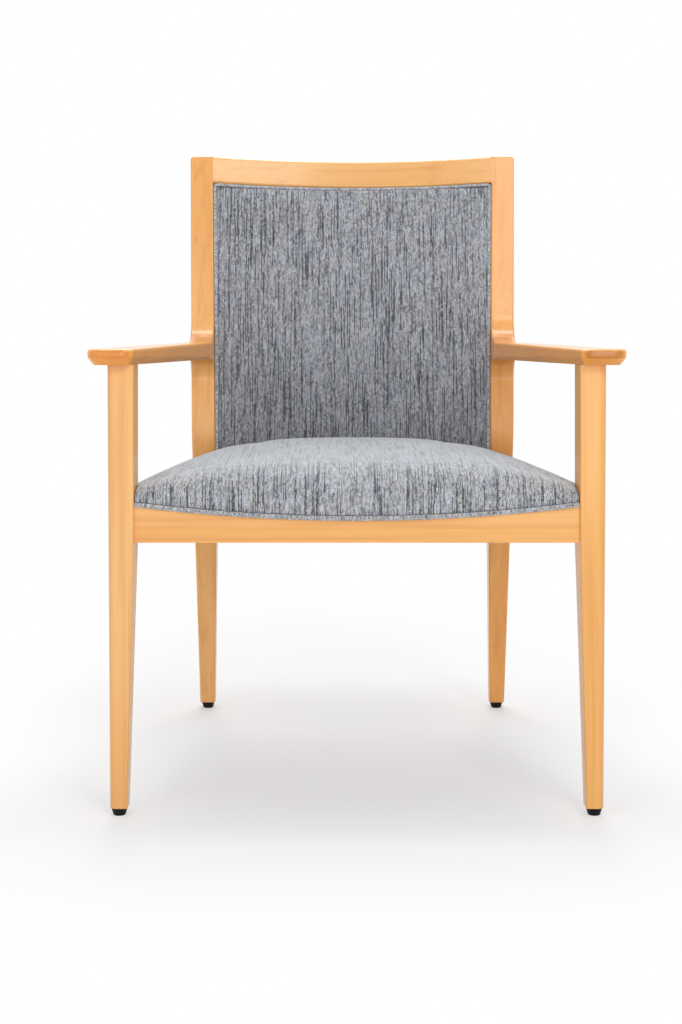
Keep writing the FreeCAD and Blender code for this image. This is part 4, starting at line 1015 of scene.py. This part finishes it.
@dataclass
class SeatCushion(Cushion):
    """The domed seat, pulled down over its deck and notched round the front legs.

    Its rises are those of the wall, the shoulder and the crown, each at the sides and in the middle.
    """

    pressure: float = 3.0
    swell: float = 0.0025
    fill: float = 0.85
    walls: tuple[Pair, ...] = ((0.3, 0.0), (0.6, 0.0), (0.85, 0.0004), (1.0, 0.0012))
    gap: float = 0.001
    base_lift: float = 0.0044
    rises: tuple[Pair, ...] = ((0.014, 0.019), (0.016, 0.050), (0.0175, 0.0545))
    reach: float = 0.044
    fullness: float = 3.8
    rear_gap: float = 0.004
    rear_bow: float = 0.0285
    bow_power: float = 1.3
    columns: int = 66
    rows: int = 54
    shoulder_rows: int = 9
    outer_share: float = 0.75
    notch_column_step: float = 0.008
    notch_row_step: float = 0.004
    notch_clear: float = 1.6

    @property
    def notch_rear(self) -> float:
        """Y of the rear of each notch."""
        return SIZES.leg_back + self.gap

    @property
    def notch_side(self) -> float:
        """X of the inner side of each notch."""
        return SIZES.leg_in - self.gap

    @property
    def rear(self) -> float:
        """Y of the seat's rear edge at its two ends."""
        return SIZES.seat_rear - self.rear_gap

    def stations(self) -> tuple[Array, float]:
        """Where the columns lie across the seat, and the one along the side of each notch.

        Returns:
            The columns, from -1 to 1, and the notch's column.
        """
        notch = self.notch_side / float(SIZES.side_rail_outside(self.notch_rear))
        middle = np.linspace(-notch, notch, self.columns + 1)
        tight = self.notch_column_step
        outer = notch + np.array([tight, 2 * tight, self.outer_share * (1 - notch), 1 - notch])
        support = np.array([notch - tight])
        found = np.concatenate([-outer[::-1], middle, outer, -support, support])
        return np.unique(np.round(found, 6)), notch

    def shares(self) -> tuple[Array, int]:
        """Where the rows lie along the seat, and the one at the rear of the notches.

        Returns:
            The rows, from 0 to 1, and the number of the notch's row.
        """
        length = self.rear - SIZES.rail_front
        turn = np.linspace(0.0, math.pi / 2, self.shoulder_rows)
        curve = self.reach * (1.0 - np.cos(turn)) / length
        notch = (self.notch_rear - SIZES.rail_front) / length
        tight = self.notch_row_step / length
        near_notch = notch + tight * np.array([-1.0, 0.0, 1.0])
        middle = np.linspace(notch + 3 * tight, 1.0 - curve[-1], self.rows)
        clear = curve[np.abs(curve - notch) > self.notch_clear * tight]
        clear = clear[clear < notch + 2 * tight]
        found = np.sort(np.concatenate([clear, near_notch, middle, 1.0 - curve[-2::-1]]))
        return found, int(np.argmin(np.abs(found - notch)))

    def place(self, station: Array, along: Array, notch: float) -> tuple[Array, Array, Array]:
        """The upper surface.

        Args:
            station: Places across, from -1 to 1.
            along: Places from front to rear, from 0 to 1.
            notch: The notch's column.

        Returns:
            X, Y and Z of the surface.
        """
        front = SIZES.rail_front
        half_front = float(SIZES.side_rail_outside(front))
        half_rear = float(SIZES.side_rail_outside(self.rear))
        clear = SIZES.post_gap_seat / 2 / half_rear
        bow = self.rear_bow * np.maximum(0.0, 1.0 - np.square(station / clear)) ** self.bow_power
        length = self.rear + bow - front
        distance = along * length
        x = station * (half_front + (half_rear - half_front) * along)
        y = front + distance
        narrow = (y <= self.notch_rear + HAIR) & (np.abs(station) <= notch + HAIR)
        x = np.where(narrow, station / notch * self.notch_side, x)
        share = 1.0 - np.abs(station) ** self.fullness
        wall, shoulder, crown = (edge + (middle - edge) * share for edge, middle in self.rises)
        rounding = quarter_round(np.minimum(distance, length - distance), self.reach)
        dome = 1.0 - np.square(2.0 * distance / length - 1.0)
        rise = wall + (shoulder - wall) * rounding + (crown - shoulder) * dome
        return x, y, SIZES.rail_top + rise - self.swell * rounding * share

    def build(self) -> Piece:
        """Make the cushion.

        Returns:
            The cushion.
        """
        stations, notch = self.stations()
        shares, row = self.shares()
        station, share = np.meshgrid(stations, shares)
        x, y, z = self.place(station, share, notch)
        y[row] = np.where(np.abs(stations) > notch - HAIR, self.notch_rear, y[row])
        top = np.stack([x, y, z], axis=-1)
        floor = np.stack([x, y, SIZES.saddle(x, y) + self.base_lift], axis=-1)
        climb = np.linalg.norm(np.diff(top[:, :, 1:], axis=0), axis=2)
        run = np.concatenate([np.zeros((1, len(stations))), np.cumsum(climb, axis=0)])
        keep = np.ones((len(shares) - 1, len(stations) - 1), bool)
        centre = (np.abs(stations[1:]) + np.abs(stations[:-1])) / 2
        keep[:row, centre > notch] = False
        cushion = self.close("seat_cushion", top, floor, np.stack([x, run], axis=-1), keep)
        fit(cushion, "cover_fabric", "seat_cover", "seat_foam")
        return cushion


@dataclass
class SeatWelt:
    """The corded welt under the front and sides of the seat, with thin dark cords of painted seam shadow."""

    weave: Material
    # The finish of the dark cords, which are painted shadow in the seams.
    yarn_or_seam_shadow: Material
    radius: float = 0.0029
    gap: float = 0.0003
    out: float = 0.0018
    rear_stop: float = 0.006
    spacing: float = 0.004
    side_points: int = 100
    # The thin dark cords along the seams are painted shadow: their radius, and how far they lie in from the
    # welt.
    seam: float = 0.00055
    seam_in: float = 0.0014

    def front_path(self) -> Array:
        """The middle line along the scooped front rail.

        Returns:
            The places, from left to right.
        """
        half = SIZES.leg_in - 2 * self.gap
        across = np.linspace(-half, half, int(2 * half / self.spacing))
        height = SIZES.rail_top + self.gap + self.radius - SIZES.dip(across)
        return np.stack([across, np.full_like(across, SIZES.rail_front - self.out), height], axis=1)

    def side_path(self, side: int) -> Array:
        """The middle line along a side rail.

        Args:
            side: -1 for the left side, 1 for the right.

        Returns:
            The places, from front to rear.
        """
        along = np.linspace(SIZES.leg_back + 2 * self.gap, SIZES.seat_rear - self.rear_stop, self.side_points)
        across = side * (SIZES.side_rail_outside(along) + self.out)
        height = np.full_like(along, SIZES.rail_top + self.gap + self.radius)
        return np.stack([across, along, height], axis=1)

    def build(self) -> Piece:
        """Make the welt.

        Returns:
            The welt, its three runs and their cords of painted seam shadow in one piece.
        """
        runs = []
        # Above each run, a thin dark cord of painted shadow in the seam between the welt and the cushion.
        inward = ((0.0, self.seam_in), (self.seam_in, 0.0), (-self.seam_in, 0.0))
        for path, move in zip((self.front_path(), self.side_path(-1), self.side_path(1)), inward):
            runs.append(CordRun(path, self.radius))
            runs.append(CordRun(path + np.array([*move, self.radius]), self.seam, finish=1))
        welt = cord_piece("seat_welt_cord", runs, (self.weave, self.yarn_or_seam_shadow))
        fit(welt, "welt_fabric", "seat_welt")
        return welt


@dataclass
class BackCushion(Cushion):
    """The thin upholstered back between the posts, curved with the rails behind it."""

    pressure: float = 2.0
    swell: float = 0.0015
    fill: float = 0.9
    walls: tuple[Pair, ...] = ((0.4, 0.0), (1.0, 0.0))
    margin: float = 0.0046
    edge_setback: float = 0.001
    wall_depth: float = 0.0026
    side_depth: float = 0.0008
    floor_back: float = 0.0117
    crown: float = 0.008
    bulge: float = 0.002
    fullness: float = 3.2
    side_reach: float = 0.010
    end_reach: float = 0.018
    middle_up: float = 0.2
    columns: int = 60
    rows: int = 60
    edge_rows: int = 6

    def build(self) -> Piece:
        """Make the cushion.

        Returns:
            The cushion.
        """
        low = SIZES.back_bottom + self.margin
        high = SIZES.crest_bottom - self.margin
        tall, wide = high - low, 2 * float(SIZES.post_inside_up(self.middle_up))
        turn = 1.0 - np.cos(np.linspace(0.0, math.pi / 2, self.edge_rows))
        shares_up = spread(self.rows, self.end_reach / tall * turn)
        shares_across = spread(self.columns, self.side_reach / wide * turn)
        share, level = np.meshgrid(shares_across, shares_up)
        up = low + level * tall
        half = SIZES.post_inside_up(up) - self.margin
        station = 2.0 * share - 1.0
        x = station * half
        ends = np.minimum(up - low, high - up)
        side_drop = self.side_depth * (1.0 - quarter_round(half - np.abs(x), self.side_reach))
        end_drop = self.wall_depth * (1.0 - quarter_round(ends, self.end_reach))
        dome = 1.0 - np.abs(station) ** self.fullness
        arch = 1.0 - np.square(2.0 * level - 1.0)
        out = self.crown * dome + self.bulge * arch - self.edge_setback - self.swell * dome * arch
        out -= np.hypot(side_drop, end_drop)
        top = SIZES.lean_place(x, up, SIZES.sag(x) - out)
        floor = SIZES.lean_place(x, up, SIZES.sag(x) + self.floor_back)
        keep = np.ones((len(shares_up) - 1, len(shares_across) - 1), bool)
        cushion = self.close("back_cushion", top, floor, np.stack([x, up], axis=-1), keep)
        fit(cushion, "cover_fabric", "back_cover", "back_foam")
        return cushion


@dataclass
class BackWelt:
    """The corded welt round the upholstered back, with a dark cord of painted seam shadow under its top."""

    weave: Material
    # The finish of the dark cord, which is painted shadow in the seam.
    yarn_or_seam_shadow: Material
    radius: float = 0.0024
    gap: float = 0.0003
    setback: float = -0.0016
    corner: float = 0.0028
    corner_points: int = 6
    spacing: float = 0.004
    # The radius of the dark cord of painted seam shadow.
    seam: float = 0.0005

    def outline(self, low: float, high: float, inset: float) -> tuple[Array, Array]:
        """The welt's middle line in the plane of the back.

        Args:
            low: Its lower end, up the lean.
            high: Its upper end, up the lean.
            inset: How far it lies inside the posts.

        Returns:
            Evenly spaced distances across and up the lean.
        """
        corners = []
        turns = np.linspace(0.0, math.pi / 2, self.corner_points)
        for right, top, start in ((1, False, -math.pi / 2), (1, True, 0.0), (-1, True, math.pi / 2),
                                  (-1, False, math.pi)):
            up = (high - self.corner) if top else (low + self.corner)
            half = float(SIZES.post_inside_up(up)) - inset - self.corner
            corners.extend((right * half + self.corner * math.cos(start + turn),
                            up + self.corner * math.sin(start + turn)) for turn in turns)
        points = np.array(corners + corners[:1])
        steps = np.concatenate([[0.0], np.cumsum(np.linalg.norm(np.diff(points, axis=0), axis=1))])
        places = np.linspace(0.0, steps[-1], int(steps[-1] / self.spacing), endpoint=False)
        return np.interp(places, steps, points[:, 0]), np.interp(places, steps, points[:, 1])

    def build(self) -> Piece:
        """Make the welt.

        Returns:
            The welt, with its cord of painted seam shadow.
        """
        inset = self.gap + self.radius
        high = SIZES.crest_bottom - inset
        across, up = self.outline(SIZES.back_bottom + self.radius, high, inset)
        path = SIZES.lean_place(across, up, SIZES.sag(across) + self.setback + self.radius)
        # A thin dark cord of painted shadow, along the seam under the welt's top run.
        seam_up = high - self.radius - self.seam / 2
        half = float(SIZES.post_inside_up(seam_up)) - inset - self.radius
        across = np.linspace(-half, half, int(2 * half / self.spacing))
        seam_path = SIZES.lean_place(across, np.full_like(across, seam_up), SIZES.sag(across) + self.seam / 2)
        runs = (CordRun(path, self.radius, closed=True), CordRun(seam_path, self.seam, finish=1))
        welt = cord_piece("back_welt_cord", runs, (self.weave, self.yarn_or_seam_shadow))
        fit(welt, "welt_fabric", "back_welt")
        return welt


@dataclass
class OutsideBack:
    """The woven cloth over the board behind the back."""

    weave: Material
    back: float = 0.0262
    gap: float = 0.0006
    tuck: float = 0.0012
    tuck_reach: float = 0.003
    thickness: float = 0.0008
    curve_share: float = 1.016
    edge_shares: tuple[float, ...] = (0.0, 0.002, 0.006)
    columns: int = 56
    rows: int = 48

    def build(self) -> Piece:
        """Make the cloth.

        Returns:
            The cloth.
        """
        low = SIZES.lower_rail_top + self.gap
        high = SIZES.crest_bottom - self.gap
        share, level = np.meshgrid(*(spread(count, self.edge_shares) for count in (self.columns, self.rows)))
        up = low + level * (high - low)
        half = SIZES.post_inside_up(up) - self.gap
        x = (2.0 * share - 1.0) * half
        edge = np.minimum(half - np.abs(x), np.minimum(up - low, high - up))
        tuck = self.tuck * (1.0 - quarter_round(edge, self.tuck_reach))
        points = SIZES.lean_place(x, up, SIZES.sag(x) + self.back - tuck)
        flat = np.stack([x, up], axis=-1)
        cloth = sheet_piece("outside_back_cloth", points, flat, self.weave, self.thickness)
        fit(cloth, "cover_fabric", "outside_back_cover")
        return cloth


@dataclass
class DustCloth:
    """The black cloth under the seat, inside the rails."""

    finish: Material
    margin: float = 0.003
    drop: float = 0.0005
    rear_reach: float = 0.010
    rear_height: float = 0.342
    thickness: float = 0.0004
    columns: int = 60
    rows: int = 50

    def build(self) -> Piece:
        """Make the cloth.

        Returns:
            The cloth.
        """
        front = SIZES.rail_back + self.margin
        rear = SIZES.seat_rear + self.rear_reach - self.margin
        half_front = SIZES.leg_in - self.margin
        half_rear = float(SIZES.post_inside(self.rear_height)) - self.margin
        station, share = np.meshgrid(np.linspace(-1, 1, self.columns), np.linspace(0, 1, self.rows))
        x = station * (half_front + (half_rear - half_front) * share)
        y = front + (rear - front) * share
        points = np.stack([x, y, SIZES.saddle(x, y) - self.drop], axis=-1)
        cloth = sheet_piece("dust_cloth", points, np.stack([x, y], axis=-1), self.finish, self.thickness)
        fit(cloth, "dust_cloth", "dust_cover")
        return cloth


@dataclass
class WoodenFrame:
    """The finishes of the pieces that keep the shape they have in the frame."""

    post_coat: Pair = (0.7, 0.24)
    arm_coat: Pair = (0.55, 0.12)
    steel: PlainFinish = PlainFinish("plated_steel", (0.52, 0.52, 0.5), (0.34, 0.33, 0.3), 0.36, metal=1.0)
    nylon: PlainFinish = PlainFinish("glide_nylon", (0.004, 0.004, 0.004), (0.01, 0.01, 0.01), 0.5,
                                     gloss=0.16)
    fasteners: tuple[str, ...] = ("screws", "bolts", "tee_nuts", "nails")

    def finishes(self) -> dict[str, Finish]:
        """The finish of each group of pieces.

        Returns:
            The finishes, by the start or the end of the pieces' names.
        """
        return {
            # The left and right legs, posts and arms get different tones, and the right arm a darker end
            # grain: partly the wood's own colour, partly painted light and shade, set to how bright each
            # piece shows.
            "front_leg_left": WoodFinish("leg_maple_left", Axis.UP, (0.935, 0.985, 1.07), 1.3),
            "front_leg_right": WoodFinish("leg_maple_right", Axis.UP, (0.935, 0.93, 0.84), 7.9),
            "back_post_left": WoodFinish("post_maple_left", Axis.UP, (0.955, 0.94, 0.89), 21.3,
                                         coat=self.post_coat),
            "back_post_right": WoodFinish("post_maple_right", Axis.UP, (0.95, 0.87, 0.71), 10.2,
                                          coat=self.post_coat),
            "arm": WoodFinish("arm_maple", Axis.DEEP, (1.01, 0.86, 0.48), 2.8, coat=self.arm_coat,
                              end_tint=(0.71, 0.53, 0.38)),
            "arm_right": WoodFinish("arm_maple_right", Axis.DEEP, (1.03, 0.87, 0.48), 5.1, coat=self.arm_coat,
                                    end_tint=(0.44, 0.32, 0.18)),
            "side_rail": WoodFinish("side_maple", Axis.DEEP, seed=9.1),
            # The crest's paler, bluer tone is partly paler wood and partly a painted reflection of lamplight
            # on its lacquer.
            "crest_rail": WoodFinish("crest_maple", Axis.ACROSS, (0.96, 1.06, 1.27), 5.6, 1.1),
            "front_seat_rail": WoodFinish("front_rail_maple", Axis.ACROSS, (0.95, 0.97, 0.95), 3.3, 1.6),
            "rear_seat_rail": WoodFinish("rear_rail_maple", Axis.ACROSS, seed=8.4),
            "lower_back_rail": WoodFinish("back_rail_maple", Axis.ACROSS, seed=6.7),
            "corner_block": WoodFinish("block_beech", Axis.ACROSS, seed=12.1, figure=1.3),
            "dowels": WoodFinish("dowel_beech", Axis.ACROSS, seed=13.7, figure=1.3),
            "board": PlyFinish("moulded_ply"),
            "seat_deck": PlyFinish("deck_ply"),
            **dict.fromkeys(self.fasteners, self.steel),
            "glide": self.nylon,
        }

    def build(self) -> None:
        """Give every piece of the frame its finish."""
        made = {key: finish.material() for key, finish in self.finishes().items()}
        for name, node in frame["nodes"].items():
            ends = [key for key in made if name.endswith(key)]
            starts = [key for key in made if name.startswith(key)]
            found = ends or starts
            if not found:
                continue
            node.data.materials.clear()
            node.data.materials.append(made[max(found, key=len)])
            LOG.info("dressed %s", name)


# Camera, light and stage


@dataclass(frozen=True)
class Lamp:
    """A square soft lamp: where it hangs, what it points at, the length of its side and its power."""

    name: str
    place: Place
    aim: Place
    size: float
    power: float

    def build(self) -> None:
        """Hang the lamp."""
        light = bpy.data.lights.new(self.name, "AREA")
        light.size = self.size
        light.energy = self.power
        made = bpy.data.objects.new(self.name, light)
        made.location = self.place
        made.rotation_euler = (Vector(self.aim) - Vector(self.place)).to_track_quat("-Z", "Y").to_euler()
        bpy.context.scene.collection.objects.link(made)


@dataclass
class Studio:
    """A white studio: floor, lamps and the camera, whose focal length and middle are in pixels."""

    picture: tuple[int, int] = (682, 1024)
    focal: float = 1572.0
    sensor: float = 36.0
    middle: Pair = (335.3, 313.0)
    eye: Place = (-0.027, -2.254681, 0.630)
    sky: float = 0.5
    floor_half: float = 6.0
    floor_colour: Colour = (0.88, 0.88, 0.89)
    floor_glow: float = 0.40
    fade_middle: float = 0.3
    fade_stretch: float = 1.8
    fade_step: Pair = (0.28, 0.6)
    near_step: Pair = (-0.4, 0.0)
    near_spread: float = 0.42
    lamps: tuple[Lamp, ...] = (
        Lamp("key", (0.85, -2.0, 1.75), (0.0, 0.0, 0.55), 0.9, 15.0),
        Lamp("front", (0.2, -3.2, 0.45), (0.0, 0.0, 0.4), 1.8, 24.0),
        Lamp("left", (-1.7, -2.4, 1.6), (0.0, 0.0, 0.5), 1.5, 12.0),
        Lamp("top", (-0.2, -0.5, 2.6), (0.0, 0.0, 0.4), 2.0, 2.0),
        Lamp("over_left", (-0.40, 0.15, 2.5), (-0.40, 0.15, 0.0), 0.3, 5.0),
        Lamp("over_right", (0.43, 0.15, 2.5), (0.43, 0.15, 0.0), 0.3, 5.0),
        Lamp("rear", (0.0, 1.6, 2.4), (0.0, 0.0, 0.45), 1.5, 30.0))

    def camera(self) -> None:
        """Set up the camera, level, with its lens shifted down."""
        wide, tall = self.picture
        lens = bpy.data.cameras.new("camera")
        lens.sensor_width = self.sensor
        lens.lens = self.focal / tall * self.sensor
        lens.shift_x = (wide / 2 - self.middle[0]) / tall
        lens.shift_y = (self.middle[1] - tall / 2) / tall
        made = bpy.data.objects.new("camera", lens)
        made.location = self.eye
        made.rotation_euler = (math.pi / 2, 0.0, 0.0)
        bpy.context.scene.collection.objects.link(made)
        bpy.context.scene.camera = made

    def world(self) -> None:
        """A white room, seen as plain white and a little dimmer as light."""
        tree = Tree(bpy.data.worlds.new("studio"))
        strength = tree.sum("MULTIPLY_ADD", tree.seen(), 1.0 - self.sky, self.sky)
        light = tree.feed(tree.node("Background"), Color=WHITE, Strength=strength)
        bpy.context.scene.world = tree.end(light, "OutputWorld")

    def floor(self) -> None:
        """A pale floor that runs out into white."""
        tree = Tree(bpy.data.materials.new("studio_floor"))
        across, along, _ = tree.split(tree.place())
        deep = tree.sum("DIVIDE", tree.sum("SUBTRACT", along, self.fade_middle), self.fade_stretch)
        near = tree.step(along, *self.near_step)
        narrow = tree.sum("MULTIPLY_ADD", near, 1.0 - self.near_spread, self.near_spread)
        reach = tree.node("VectorMath", operation="LENGTH")
        tree.feed(reach, tree.vector(tree.sum("MULTIPLY", across, narrow), deep, 0.0))
        far = tree.step(reach.outputs["Value"], *self.fade_step)
        glow = tree.sum("MULTIPLY_ADD", far, 1.0 - self.floor_glow, self.floor_glow)
        matt = tree.feed(tree.node("BsdfDiffuse"), Color=rgba(self.floor_colour))
        white = tree.feed(tree.node("Emission"), Color=WHITE)
        share = tree.sum("MULTIPLY", glow, tree.seen())
        both = tree.feed(tree.node("MixShader"), share, matt, white)
        half = self.floor_half
        corners = np.array([(-half, -half, 0.0), (half, -half, 0.0), (half, half, 0.0), (-half, half, 0.0)])
        new_piece("floor", corners, [(0, 1, 2, 3)], tree.end(both))

    def build(self) -> None:
        """Set up the whole studio."""
        self.camera()
        self.world()
        self.floor()
        for lamp in self.lamps:
            lamp.build()


def main() -> None:
    """Build the studio, the soft pieces and the finishes, in that order."""
    logging.basicConfig(level=logging.INFO, format="%(name)s: %(message)s")
    bpy.context.scene.view_settings.view_transform = "Standard"
    Studio().build()
    welt = {"run": Run.CROSSWISE, "pitch": 0.0013, "grain_weight": 0.9}
    weaves = (
        # The seat's cloth is the back's cloth with a paler ground: painted light, for the brighter light and
        # sheen on the seat's top.
        WeaveFinish("seat_weave", seed=3.0, ground=(0.278, 0.283, 0.296), pitch=0.0013, grain=0.0011,
                    sheen=0.76),
        # The back's cloth carries painted shade, darker towards the bottom of the back.
        WeaveFinish("back_weave", seed=11.0, painted_shade=0.73, painted_shade_step=(-0.03, 0.28)),
        WeaveFinish("welt_weave", seed=7.0, ground=(0.325, 0.326, 0.331),
                    threads=(Thread(0.004, 1.1, 5.3),), **welt),
        WeaveFinish("back_welt_weave", seed=17.0, ground=(0.36, 0.363, 0.375),
                    threads=(Thread(0.004, 1.0, 5.3),), **welt))
    seat_weave, back_weave, welt_weave, back_welt_weave = (weave.material() for weave in weaves)
    # The dark cords in the welts' seams are painted shadow.
    yarn_or_seam_shadow = PlainFinish("seam_shadow_cord", (0.05, 0.051, 0.055), (0.14, 0.14, 0.145), 0.8).material()
    outside_weave = WeaveFinish("outside_weave", seed=19.0).material()
    dust = PlainClothFinish("dust_cloth_black").material()
    makers = (SeatCushion(seat_weave), SeatWelt(welt_weave, yarn_or_seam_shadow), BackCushion(back_weave),
              BackWelt(back_welt_weave, yarn_or_seam_shadow), OutsideBack(outside_weave), DustCloth(dust))
    for maker in makers:
        piece = maker.build()
        LOG.info("built %s", piece.name)
    WoodenFrame().build()


if __name__ == "__main__":
    main()
